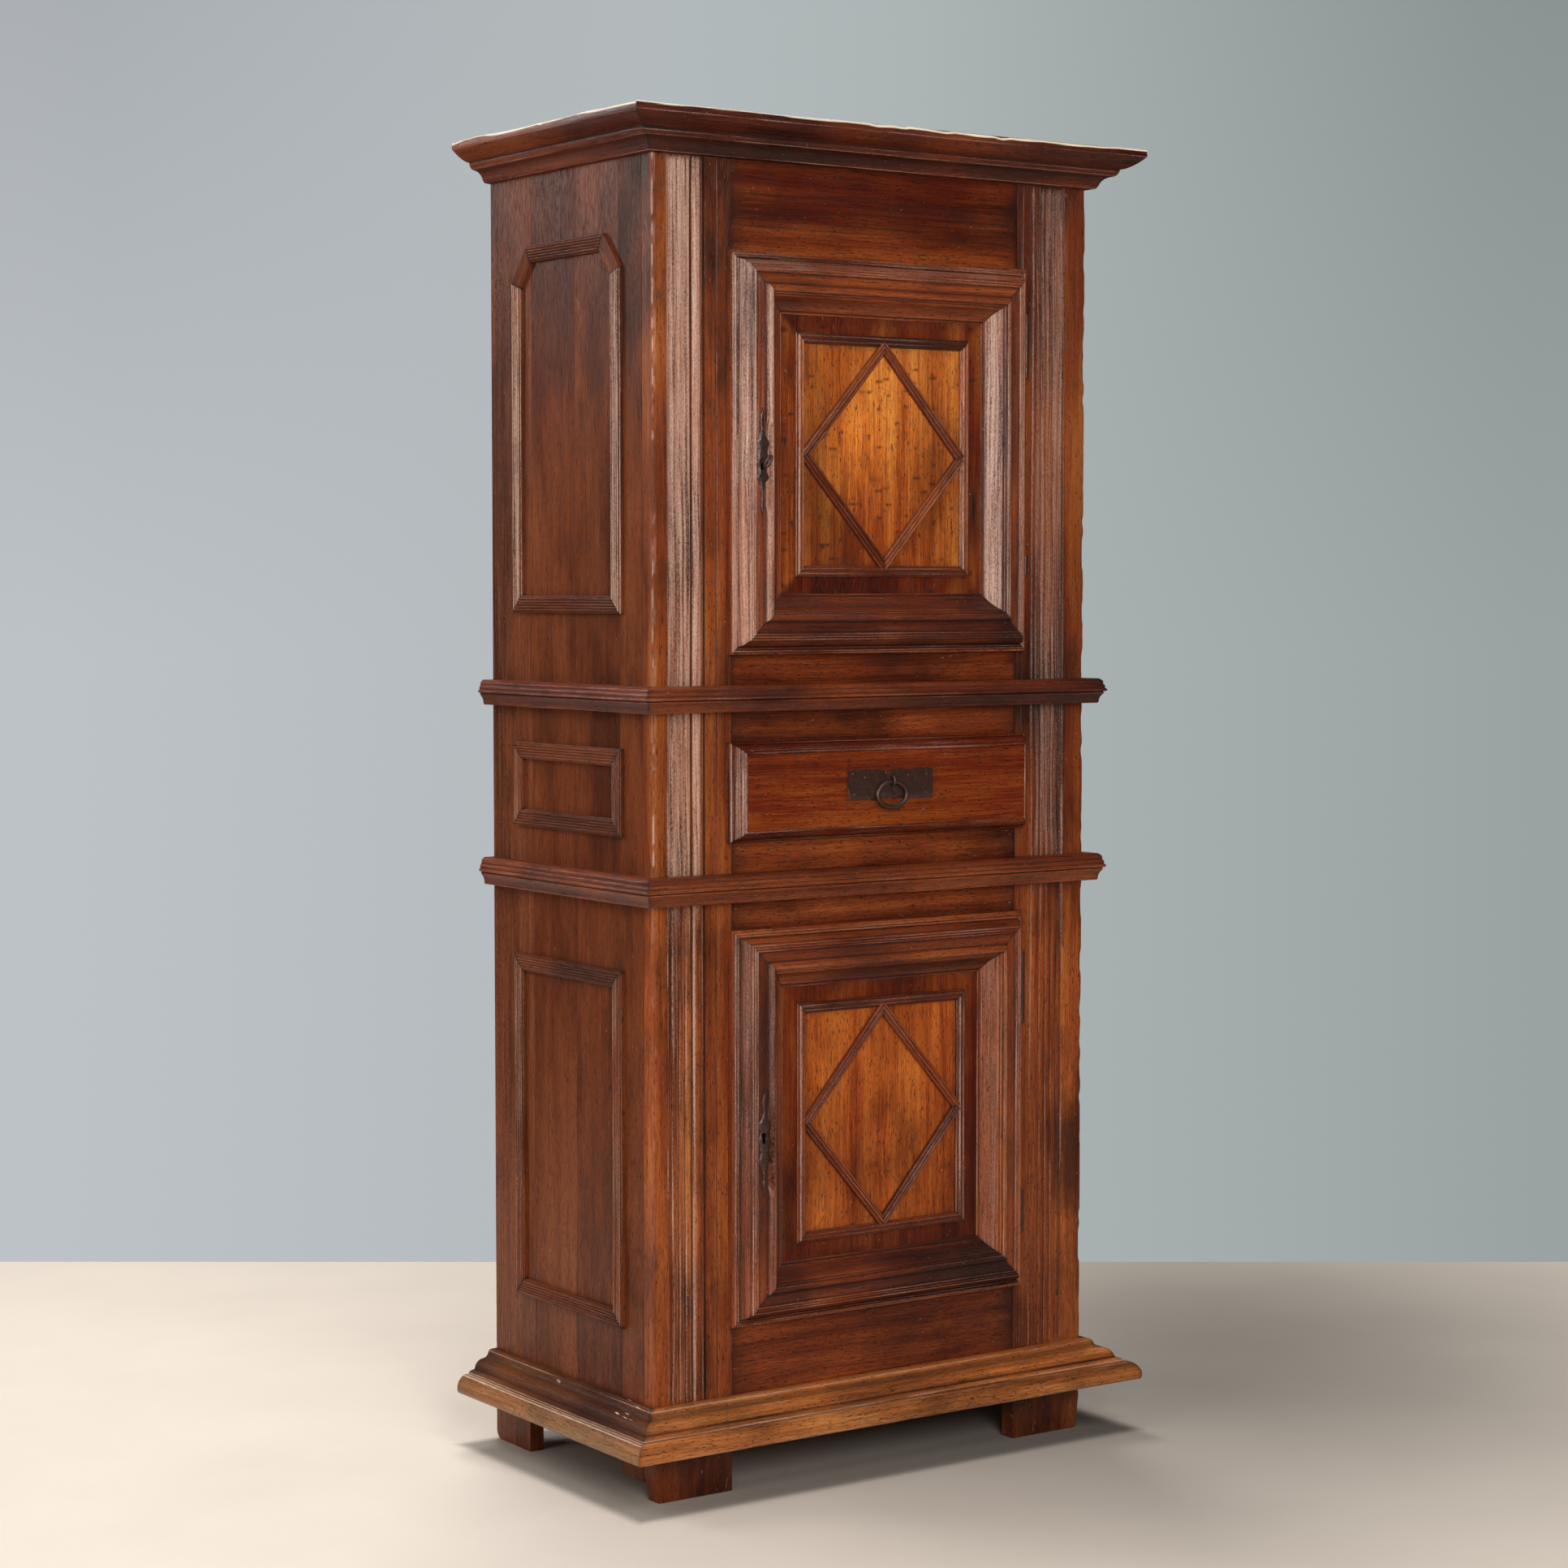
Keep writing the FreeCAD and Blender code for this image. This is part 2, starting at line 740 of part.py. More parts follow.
def door_moulding(door):
    half, low, high = door_edges(door)
    corners = rectangle((-half + moulding_start, half - moulding_start),
                        (low + moulding_start, high - moulding_start))
    pieces = mitred_frame(corners, moulding_shares, moulding_width, moulding_height)
    hole = keyhole(door)
    return [onto_front(piece, door_surface).cut(hole) for piece in pieces]


def panel_trim(door):
    half, low, high = door_edges(door)
    inset = moulding_start + moulding_width + panel_border
    corners = rectangle((-half + inset, half - inset), (low + inset, high - inset))
    pieces = mitred_frame(corners, trim_shares, trim_width, trim_height)
    reach_u = half - inset - trim_width - trim_gap
    middle = (low + high) / 2
    reach_v = (high - low) / 2 - inset - trim_width - trim_gap
    diamond = [vec(reach_u, middle, 0), vec(0, middle + reach_v, 0),
               vec(-reach_u, middle, 0), vec(0, middle - reach_v, 0)]
    pieces += mitred_frame(diamond, lozenge_shares, lozenge_width, lozenge_height)
    return [onto_front(piece, door_surface) for piece in pieces]


def escutcheon(door):
    x = keyhole_x(door)
    z_low = door["keyhole"] - escutcheon_length * door["plate_below_share"]
    edges = []
    for side in (-1, 1):
        curve = Part.BSplineCurve()
        curve.interpolate([vec(x + side * wide * escutcheon_width / 2, flat_surface,
                               z_low + along * escutcheon_length) for wide, along in escutcheon_shares])
        edges.append(curve.toShape())
    plate = Part.Face(Part.Wire(edges)).extrude(vec(0, -escutcheon_thickness, 0))
    return plate.cut(keyhole(door))


def lock_spans(door, wall):
    x_low = -opening_half + lock_side_gap + wall
    x_high = -opening_half + lock_side_gap + lock_width - wall
    y_low = front + door_back
    middle = door["keyhole"]
    return (x_low, x_high), (y_low, y_low + lock_depth - wall), (middle - lock_height / 2 + wall,
                                                                 middle + lock_height / 2 - wall)


def bolt_spans(door):
    x_low = -opening_half + lock_side_gap - bolt_face_gap
    y_low = front_back + bolt_face_gap
    z_low = door["keyhole"] + bolt_rise
    return (x_low, x_low + bolt_length), (y_low, y_low + bolt_thickness), (z_low, z_low + bolt_height)


def lock_case(door):
    outer = box(*lock_spans(door, 0))
    hollow_x, hollow_y, hollow_z = lock_spans(door, lock_wall)
    hollow = box(hollow_x, (hollow_y[0] - overrun, hollow_y[1]), hollow_z)
    rib_x = hollow_x[0] + lock_rib_inset
    low = bolt_spans(door)[2][0] - lock_rib
    rib = box((rib_x, rib_x + lock_rib), hollow_y, (low, hollow_z[1]))
    case = joined([outer.cut(hollow), rib])
    return case.cut(grown(*bolt_spans(door), bolt_play))


def lock_bolt(door):
    return box(*bolt_spans(door))


def hinge_leaves(door):
    return [door_hinge(door, bottom, tall) for bottom, tall in door["hinges"]]


def oval_arcs(half_long, half_short):
    # Centre, radius, start angle and turn of four arcs that meet smoothly: tight ones round
    # the ends of the long axis and flatter ones between them
    end_radius = half_short * oval_end_share
    offset = half_long - end_radius
    side_radius = (offset ** 2 + half_short ** 2 - end_radius ** 2) / (2 * (half_short - end_radius))
    drop = side_radius - half_short
    meeting = math.degrees(math.atan2(drop, offset))
    arcs = []
    for side, start in ((1, 0), (-1, 180)):
        arcs.append((vec(side * offset, 0, 0), end_radius, start - meeting, 2 * meeting))
        arcs.append((vec(0, -side * drop, 0), side_radius, start + meeting, 180 - 2 * meeting))
    return arcs


def oval_ring(centre, long_axis, short_axis, half_long, half_short, wire):
    pieces = []
    for middle, radius, start, turn in oval_arcs(half_long, half_short):
        angle = math.radians(start)
        outward = vec(math.cos(angle), math.sin(angle), 0)
        along = vec(-outward.y, outward.x, 0)
        disc = Part.Face(Part.Wire([Part.makeCircle(wire, middle + outward * radius, along)]))
        pieces.append(disc.revolve(middle, vec(0, 0, 1), turn))
    ring = joined(pieces)
    normal = long_axis.cross(short_axis)
    place = FreeCAD.Matrix(long_axis.x, short_axis.x, normal.x, centre.x,
                           long_axis.y, short_axis.y, normal.y, centre.y,
                           long_axis.z, short_axis.z, normal.z, centre.z, 0, 0, 0, 1)
    ring.transformShape(place)
    return ring


def upper_key():
    door = doors["upper"]
    x = keyhole_x(door)
    z = door["keyhole"]
    angle = math.radians(key_bow_angle)
    bow = oval_ring(vec(x, front - key_bow_centre, z), vec(math.cos(angle), 0, math.sin(angle)),
                    vec(0, 1, 0), key_bow_reach, key_bow_depth, key_bow_wire)
    tip = lock_spans(door, lock_wall)[1][1] - key_tip_gap
    start = front - key_bow_centre + key_bow_depth
    shank = cylinder(key_radius, vec(x, start, z), vec(0, 1, 0), tip - start)
    half = key_bit_thickness / 2
    bit = box((x - half, x + half), (tip - key_bit_width, tip), (z - key_bit_length, z))
    return joined([bow, shank, bit])


# Drawer

def drawer_body():
    half = opening_half - drawer_gap
    return half, drawer_opening_bottom + drawer_floor_gap, drawer_opening_top - drawer_gap


def drawer_front():
    lap_half = opening_half + drawer_lap_side
    low = drawer_opening_bottom - drawer_lap_height
    high = drawer_opening_top + drawer_lap_height
    surface = front - door_lip_gap
    relief = drawer_relief - door_lip_gap
    border = mitred_frame(rectangle((-lap_half, lap_half), (low, high)), drawer_edge_shares,
                          drawer_edge_width, relief)
    edge = drawer_edge_width
    middle = box((-lap_half + edge, lap_half - edge), (surface - relief, surface), (low + edge, high - edge))
    half, body_low, body_high = drawer_body()
    body = box((-half, half), (surface, front + drawer_rebate_depth), (body_low, body_high))
    whole = joined([onto_front(piece, surface) for piece in border] + [middle, body])
    for side in (-1, 1):
        x_range, y_range, z_range = drawer_side_spans(side)
        whole = whole.cut(box((x_range[0], x_range[1] + side * overrun),
                              (y_range[0], front + drawer_rebate_depth + overrun),
                              (body_low - overrun, body_high + overrun)))
    return whole.cut(grown(*drawer_bottom_spans(), joint_play))


def drawer_side_spans(side):
    half, low, high = drawer_body()
    y_low = front + drawer_rebate_depth - drawer_side_lap
    return (side * (half - drawer_side_thickness), side * half), (
        y_low, inner_back - drawer_back_gap), (low, high - drawer_side_drop)


def drawer_bottom_spans():
    half, low, high = drawer_body()
    inner = half - drawer_side_thickness + drawer_groove
    y_low = front + drawer_rebate_depth - drawer_groove
    y_high = drawer_side_spans(1)[1][1]
    z_low = low + drawer_bottom_rise
    return (-inner, inner), (y_low, y_high), (z_low, z_low + drawer_bottom_thickness)


def drawer_side(side):
    x_range, y_range, z_range = drawer_bottom_spans()
    groove = grown(x_range, (y_range[0], y_range[1] + overrun), z_range, joint_play)
    return box(*drawer_side_spans(side)).cut(groove)


def drawer_back():
    half, low, high = drawer_body()
    inner = half - drawer_side_thickness
    y_high = drawer_side_spans(1)[1][1]
    z_low = drawer_bottom_spans()[2][1]
    return box((-inner, inner), (y_high - drawer_side_thickness, y_high), (z_low, high - drawer_back_drop))


# Drop handle

def plate_middle():
    return (drawer_opening_bottom + drawer_opening_top) / 2 + plate_rise


def pull_plate():
    surface = front - drawer_relief
    middle = plate_middle()
    plate = box((-plate_width / 2, plate_width / 2), (surface - plate_thickness, surface),
                (middle - plate_height / 2, middle + plate_height / 2))
    upright = [edge for edge in plate.Edges if abs(edge.tangentAt(edge.FirstParameter).y) > 0.5]
    plate = plate.makeChamfer(plate_corner, upright)
    return plate.cut(grown(*staple_leg_spans(1), joint_play)).cut(grown(*staple_leg_spans(-1), joint_play))


def staple_middle():
    return plate_middle() + staple_rise


def staple_leg_spans(upper):
    middle = staple_middle() + upper * staple_radius
    surface = front - drawer_relief - plate_thickness
    return (-staple_wire, staple_wire), (surface, surface + staple_tail), (
        middle - staple_wire, middle + staple_wire)


def pull_staple():
    surface = front - drawer_relief - plate_thickness
    middle = staple_middle()
    bend_y = surface - staple_leg
    bend = Part.makeTorus(staple_radius, staple_wire, vec(0, bend_y, middle), vec(1, 0, 0))
    reach = staple_radius + 2 * staple_wire
    bend = bend.common(box((-reach, reach), (bend_y - reach, bend_y), (middle - reach, middle + reach)))
    legs = [cylinder(staple_wire, vec(0, bend_y, middle + upper * staple_radius), vec(0, 1, 0),
                     staple_leg + staple_tail) for upper in (-1, 1)]
    return joined([bend] + legs)


def ring_top():
    # The ring's wire rests on the staple's lower leg
    z = staple_middle() - staple_radius + staple_wire + ring_wire + ring_gap
    return front - drawer_relief - plate_thickness - ring_wire - ring_gap, z


def pull_ring():
    y, z = ring_top()
    return oval_ring(vec(0, y, z - ring_half_height), vec(1, 0, 0), vec(0, 0, 1),
                     ring_half_width, ring_half_height, ring_wire)


def with_staple_holes(shape):
    for upper in (-1, 1):
        shape = shape.cut(grown(*staple_leg_spans(upper), joint_play))
    return shape


def carcass_nodes():
    nodes = {name: [rail(z_range)] for name, z_range in rails.items()}
    for side, word in ((-1, "left"), (1, "right")):
        nodes["front_stile_" + word] = [front_stile(side)]
        nodes["side_front_board_" + word] = [side_front_board(side)]
        nodes["side_planks_" + word] = side_planks(side)
        nodes["rear_post_" + word] = [rear_post(side)]
        nodes["side_moulding_" + word] = side_moulding(side)
    nodes["back_boards"] = back_boards()
    nodes["roof_boards"] = roof_boards()
    nodes["lower_floor"] = [floor_board(lower_opening_bottom)]
    nodes["drawer_deck"] = [floor_board(drawer_opening_bottom)]
    nodes["upper_floor"] = [floor_board(upper_opening_bottom)]
    nodes["lower_shelf"] = [shelf(doors["lower"])]
    nodes["upper_shelf"] = [shelf(doors["upper"])]
    nodes["shelf_bearers"] = shelf_bearers()
    nodes["drawer_guides"] = drawer_guides()
    nodes["cornice"] = carcass_moulding(cornice_shares, cornice_projection,
                                        height - cornice_height, cornice_height)
    nodes["upper_waist_moulding"] = carcass_moulding(waist_shares, waist_projection,
                                                     drawer_opening_top + upper_waist_rise,
                                                     upper_waist_height)
    nodes["lower_waist_moulding"] = carcass_moulding(waist_shares, waist_projection,
                                                     lower_opening_top + lower_waist_rise,
                                                     lower_waist_height)
    nodes["base_moulding"] = carcass_moulding(base_shares, base_moulding_projection,
                                              rim_bottom + rim_height, base_moulding_height)
    nodes["plinth_rim"] = carcass_moulding(rim_shares, rim_projection, rim_bottom, rim_height)
    nodes["frame_hinges"] = frame_hinges()
    return nodes


def door_nodes():
    nodes = {}
    for name, door in doors.items():
        nodes[name + "_door_lock_stile"] = [door_stile(door, -1)]
        nodes[name + "_door_hinge_stile"] = [door_stile(door, 1)]
        nodes[name + "_door_top_rail"] = [door_rail(door, True)]
        nodes[name + "_door_bottom_rail"] = [door_rail(door, False)]
        nodes[name + "_door_panel"] = [door_panel(door)]
        nodes[name + "_door_moulding"] = door_moulding(door)
        nodes[name + "_panel_trim"] = panel_trim(door)
        nodes[name + "_escutcheon"] = [escutcheon(door)]
        nodes[name + "_lock_case"] = [lock_case(door)]
        nodes[name + "_lock_bolt"] = [lock_bolt(door)]
        nodes[name + "_hinge_leaves"] = hinge_leaves(door)
    nodes["upper_key"] = [upper_key()]
    return nodes


def drawer_nodes():
    return {
        "drawer_front": [with_staple_holes(drawer_front())],
        "drawer_side_left": [drawer_side(-1)],
        "drawer_side_right": [drawer_side(1)],
        "drawer_back": [drawer_back()],
        "drawer_bottom": [box(*drawer_bottom_spans())],
        "pull_plate": [pull_plate()],
        "pull_staple": [pull_staple()],
        "pull_ring": [pull_ring()],
    }


def main():
    os.makedirs("parts", exist_ok=True)
    nodes = {**carcass_nodes(), **door_nodes(), **drawer_nodes()}
    for name, shapes in nodes.items():
        shape = shapes[0] if len(shapes) == 1 else Part.makeCompound(shapes)
        shape.exportStep("parts/" + name + ".step")
        solids = len(shape.Solids)
        valid = "valid" if shape.isValid() else "NOT VALID"
        print(name, solids, "solids", round(shape.Volume), valid)
    print(len(nodes), "nodes")


main()
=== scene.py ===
import itertools
import math
import bmesh
import bpy
import numpy as np
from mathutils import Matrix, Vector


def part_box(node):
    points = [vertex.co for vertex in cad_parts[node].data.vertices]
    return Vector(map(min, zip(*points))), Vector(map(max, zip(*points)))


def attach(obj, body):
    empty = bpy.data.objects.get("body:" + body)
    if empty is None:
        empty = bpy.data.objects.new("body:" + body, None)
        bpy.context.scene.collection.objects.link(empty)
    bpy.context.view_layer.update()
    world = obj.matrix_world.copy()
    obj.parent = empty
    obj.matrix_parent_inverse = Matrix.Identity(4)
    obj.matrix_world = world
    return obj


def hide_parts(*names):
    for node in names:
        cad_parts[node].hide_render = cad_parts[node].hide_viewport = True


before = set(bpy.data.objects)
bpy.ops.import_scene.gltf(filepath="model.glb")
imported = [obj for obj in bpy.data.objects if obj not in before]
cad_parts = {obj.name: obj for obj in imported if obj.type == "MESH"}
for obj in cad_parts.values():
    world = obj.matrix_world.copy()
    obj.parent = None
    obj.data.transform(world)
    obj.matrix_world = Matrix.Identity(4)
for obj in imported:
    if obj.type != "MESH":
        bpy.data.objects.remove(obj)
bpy.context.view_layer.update()        # everything is in metres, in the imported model's frame
mm = 0.001

# Chance sets each board's place in the grain, always in the same order
chance = np.random.default_rng(5)
noiseTable = np.random.default_rng(11).random((32, 32, 32))
levelLine, plumbLine = (1, 0, 0), (0, 0, 1)      # noise that changes only along X, or only along Z


def noise(points, cell, shift=0.0):
    # random values at the corners of cubes of the given size, blended smoothly between them, -1 to 1
    place = np.asarray(points) / cell + shift
    low = np.floor(place).astype(int)
    part = place - low
    part = part * part * (3 - 2 * part)
    blended = np.zeros(place.shape[:-1])
    for corner in itertools.product((0, 1), repeat=3):
        index = (low + corner) % len(noiseTable)
        weight = np.where(corner, part, 1 - part).prod(axis=-1)
        blended += weight * noiseTable[index[..., 0], index[..., 1], index[..., 2]]
    return 2 * blended - 1


def between(points, cell, shift=0.0, low=0.0, high=1.0):
    # the same noise, spread between two values
    return (low + high) / 2 + (high - low) / 2 * noise(points, cell, shift)


def rise(value, start, end):
    # 0 before start, 1 after end, and an S curve between
    part = np.clip((value - start) / (end - start), 0, 1)
    return part * part * (3 - 2 * part)


def fall(value, start, end):
    return 1 - rise(value, start, end)


def hump(value, middle, width):
    # a bell curve, 1 at its middle
    return np.exp(-((value - middle) / width) ** 2)


def joined(x, y, z):
    return np.stack([x, y, z], axis=-1)


def split(points):
    return np.moveaxis(points, -1, 0)


def raiseMark(marks, label, values):
    marks[label] = np.maximum(marks[label], values)


def camel(name):
    # the name of the piece that replaces a node: top_rail becomes topRail
    first, *rest = name.split("_")
    return first + "".join(word.title() for word in rest)


# Materials

def node(tree, kind, inputs=None, **settings):
    made = tree.nodes.new(kind)
    for name, value in settings.items():
        setattr(made, name, value)
    for name, value in (inputs or {}).items():
        connect(tree, made.inputs[name], value)
    return made


def connect(tree, socket, value):
    # a value that comes from another node is linked, any other is set
    if isinstance(value, bpy.types.NodeSocket):
        tree.links.new(value, socket)
    else:
        socket.default_value = value


def maths(tree, operation, first, second=0.0, clamp=False):
    inputs = {0: first, 1: second}
    return node(tree, "ShaderNodeMath", inputs, operation=operation, use_clamp=clamp).outputs[0]


def times(tree, first, second):
    return maths(tree, "MULTIPLY", first, second)


def minus(tree, first, second):
    return maths(tree, "SUBTRACT", first, second)


def weighed(tree, *parts):
    # the sum of values, each times its share
    added = times(tree, *parts[0])
    for part in parts[1:]:
        added = maths(tree, "ADD", added, times(tree, *part))
    return added


def vectorMaths(tree, operation, first, second):
    return node(tree, "ShaderNodeVectorMath", {0: first, 1: second}, operation=operation).outputs[0]


def blendColor(tree, factor, first, second, mode="MIX"):
    mixed = node(tree, "ShaderNodeMix", data_type="RGBA", blend_type=mode)
    for name, value in (("Factor_Float", factor), ("A_Color", first), ("B_Color", second)):
        connect(tree, next(s for s in mixed.inputs if s.identifier == name), value)
    return next(s for s in mixed.outputs if s.identifier == "Result_Color")


def ramp(tree, factor, stops):
    made = node(tree, "ShaderNodeValToRGB", {0: factor})
    elements = made.color_ramp.elements
    while len(elements) < len(stops):
        elements.new(0.5)
    for element, (place, color) in zip(elements, stops):
        element.position = place
        element.color = (*color[:3], 1)
    return made.outputs[0]


def mask(tree, factor, black, white):
    # 0 at the first value and 1 at the second, whichever is higher
    return ramp(tree, factor, sorted([(black, (0, 0, 0)), (white, (1, 1, 1))]))


def ranged(tree, value, low, high, first=0.0, last=1.0, **settings):
    # carries what lies between low and high to between first and last
    inputs = {"Value": value, "From Min": low, "From Max": high, "To Min": first, "To Max": last}
    return node(tree, "ShaderNodeMapRange", inputs, **settings).outputs[0]


def attribute(tree, label, output="Fac"):
    return node(tree, "ShaderNodeAttribute", attribute_name=label).outputs[output]


def noiseMap(tree, vector, scale, detail=2.0, roughness=0.5, output="Fac"):
    inputs = {"Vector": vector, "Scale": scale, "Detail": detail, "Roughness": roughness}
    return node(tree, "ShaderNodeTexNoise", inputs).outputs[output]


def stretchedNoise(tree, vector, scale, detail=2.0, roughness=0.5, move=(0, 0, 0), output="Fac"):
    mapped = node(tree, "ShaderNodeMapping", {"Vector": vector, "Scale": scale, "Location": move}).outputs[0]
    return noiseMap(tree, mapped, 1.0, detail, roughness, output)


def newMaterial(name):
    material = bpy.data.materials.new(name)
    material.use_nodes = True
    return material, material.node_tree, material.node_tree.nodes["Principled BSDF"]


def finishSurface(tree, shader, color, rough, height, strength, distance):
    connect(tree, shader.inputs["Base Color"], color)
    connect(tree, shader.inputs["Roughness"], rough)
    bump = node(tree, "ShaderNodeBump", {"Height": height, "Strength": strength, "Distance": distance})
    connect(tree, shader.inputs["Normal"], bump.outputs[0])


# Each noise in the wood: how many of its spots there are in a metre along and across the grain, its detail and
# roughness, and how far it is moved aside
woodNoise = {
    "figure": ((1.5, 34.0, 34.0), 4.0, 0.6), "streak": ((8.0, 430.0, 430.0), 3.0, 0.65),
    "pore": ((60.0, 1500.0, 1500.0), 1.0), "stain": ((3.2, 8.0, 8.0), 5.0, 0.65, (3.1, 1.7, 0.4)),
    "cloud": ((1.3, 2.6, 2.6), 3.0, 0.6, (0.3, 5.7, 2.4)), "fleck": ((150.0, 330.0, 330.0), 2.0),
    "pit": ((110.0, 620.0, 620.0), 1.0), "line": ((2.5, 250.0, 250.0), 2.0, 0.6, (7.1, 2.3, 9.4)),
    "glint": ((260.0, 800.0, 800.0), 2.0, 0.7),
}
woodLook = {
    "sway": (3.0, 14.0, 14.0), "swayReach": (0.0, 0.016, 0.016),
    # shares of the noises in the tone, the stains and the height
    "tone": {"figure": 0.42, "streak": 0.26, "cloud": 0.32}, "toneMiddle": 0.51,
    "stains": {"stain": 0.6, "cloud": 0.4}, "ridges": {"streak": 0.8, "figure": 0.5}, "sunkHeight": 0.4,
    # where each mark starts and where it is full, and how strongly it covers what lies under it
    "stainBand": (0.52, 0.41), "stainDark": 0.22, "poreBand": (0.56, 0.66), "pores": 0.42,
    "pitBand": (0.63, 0.69), "pits": 0.85, "soilRange": (0.3, 0.7, 0.5, 1.2), "rubBand": (0.22, 1.0),
    # glints are painted highlights, laid in the pale colour of wear and sheen
    "lineRange": (0.36, 0.60, 0.15, 1.0), "lines": 0.75, "glintRange": (0.36, 0.66), "glints": 0.65,
    "sunkBand": (0.43, 0.36), "sunk": 0.75, "scratchBand": (0.275, 0.25), "scratches": 0.35,
    "soilColor": (0.012, 0.0055, 0.0035, 1), "wearColor": (0.55, 0.335, 0.25, 1),
    "bareColor": (0.86, 0.72, 0.55, 1),
    "matt": 0.35, "mattBand": (0.3, 0.75), "roughness": (0.22, 0.42), "dryRoughness": (0.7, 0.9),
    "bump": (0.75, 0.0008),
}


def woodMaterial(name, dark, middle, light, stain=0.7, gloss=0.5, shadeColor=(0.30, 0.17, 0.14, 1), dry=False,
                 spread=0.11):
    # wax over brown wood: bands and streaks along the grain, dark pores, stains, soil in hollows
    # and pale arrises, partly wear and partly painted sheen and glints, read from the piece's own attributes
    look = woodLook
    material, tree, shader = newMaterial(name)
    wear, soil, shade, bare = [attribute(tree, label) for label in ("wear", "soil", "shade", "bare")]
    grain = attribute(tree, "grain", "Vector")
    sway = stretchedNoise(tree, grain, look["sway"], output="Color")
    grain = vectorMaths(tree, "ADD", grain, vectorMaths(tree, "MULTIPLY", sway, look["swayReach"]))
    maps = {label: stretchedNoise(tree, grain, *values) for label, values in woodNoise.items()}

    def mixed(shares):
        return weighed(tree, *[(maps[label], share) for label, share in shares.items()])

    def covered(mark, strength, top):
        # the colour so far, with another one over it where the mark is
        return blendColor(tree, times(tree, mark, strength), color, top)

    toneStops = (look["toneMiddle"] - spread, look["toneMiddle"], look["toneMiddle"] + spread)
    color = ramp(tree, mixed(look["tone"]), list(zip(toneStops, (dark, middle, light))))
    stains = mask(tree, mixed(look["stains"]), *look["stainBand"])
    color = covered(stains, stain, (*[part * look["stainDark"] for part in dark], 1))
    color = covered(shade, 1.0, blendColor(tree, 1.0, color, shadeColor, "MULTIPLY"))
    pores = mask(tree, maps["pore"], *look["poreBand"])
    color = covered(pores, look["pores"], look["soilColor"])
    pits = mask(tree, maps["pit"], *look["pitBand"])
    color = covered(pits, look["pits"], look["soilColor"])
    broken = ranged(tree, maps["streak"], *look["soilRange"])
    color = covered(maths(tree, "MULTIPLY", soil, broken, True), 1.0, look["soilColor"])
    sunk = times(tree, mask(tree, maps["line"], *look["sunkBand"]), wear)
    color = covered(sunk, look["sunk"], look["soilColor"])
    # the pale colour: wear, with painted sheen and painted glints in it
    worn = weighed(tree, (ranged(tree, maps["line"], *look["lineRange"]), look["lines"]),
                   (ranged(tree, maps["glint"], *look["glintRange"]), look["glints"]))
    color = covered(mask(tree, times(tree, wear, worn), *look["rubBand"]), 1.0, look["wearColor"])
    color = covered(mask(tree, maps["fleck"], *look["scratchBand"]), look["scratches"], look["wearColor"])
    color = covered(bare, 1.0, look["bareColor"])
    matt = maths(tree, "ADD", maps["streak"], times(tree, maths(tree, "ADD", soil, bare), look["matt"]))
    rough = ranged(tree, matt, *look["mattBand"], *look["dryRoughness" if dry else "roughness"])
    shader.inputs["Specular IOR Level"].default_value = gloss
    height = minus(tree, mixed(look["ridges"]), times(tree, pits, look["sunkHeight"]))
    height = minus(tree, height, times(tree, pores, look["sunkHeight"]))
    finishSurface(tree, shader, color, rough, height, *look["bump"])
    return material


ironLook = {
    "color": (0.048, 0.028, 0.021, 1), "rust": (0.048, 0.01456, 0.00756, 1),
    # painted shade inside a keyhole
    "black": (0.002, 0.002, 0.002, 1),
    "coarse": (170.0, 4.0), "fine": (800.0, 2.0), "fineShare": 0.35, "rustBand": (0.62, 0.40), "metal": 0.35,
    "roughRange": (0.3, 0.7, 0.5, 0.22), "bump": (0.6, 0.0007),
}


def ironMaterial(name):
    # forged iron: a dark skin, uneven at two sizes, brown rust in its hollows, and black painted in a keyhole
    # as shade
    look = ironLook
    material, tree, shader = newMaterial(name)
    place = node(tree, "ShaderNodeTexCoord").outputs["Object"]
    coarse, fine = [noiseMap(tree, place, *look[size]) for size in ("coarse", "fine")]
    # on iron, soil marks a keyhole, painted black as its shade
    dark = attribute(tree, "soil")
    color = blendColor(tree, mask(tree, coarse, *look["rustBand"]), look["color"], look["rust"])
    color = blendColor(tree, dark, color, look["black"])
    connect(tree, shader.inputs["Metallic"], maths(tree, "SUBTRACT", look["metal"], dark, True))
    rough = ranged(tree, minus(tree, coarse, dark), *look["roughRange"])
    height = weighed(tree, (coarse, 1.0), (fine, look["fineShare"]))
    finishSurface(tree, shader, color, rough, height, *look["bump"])
    return material


floorLook = {"color": (0.73, 0.645, 0.555), "mottle": (3.2, 5.0), "mottleRange": (0.3, 0.7, 0.97, 1.03),
             "edge": (-0.012, 0.016), "fade": (0.04, 0.16), "roughness": 0.8, "gloss": 0.1}


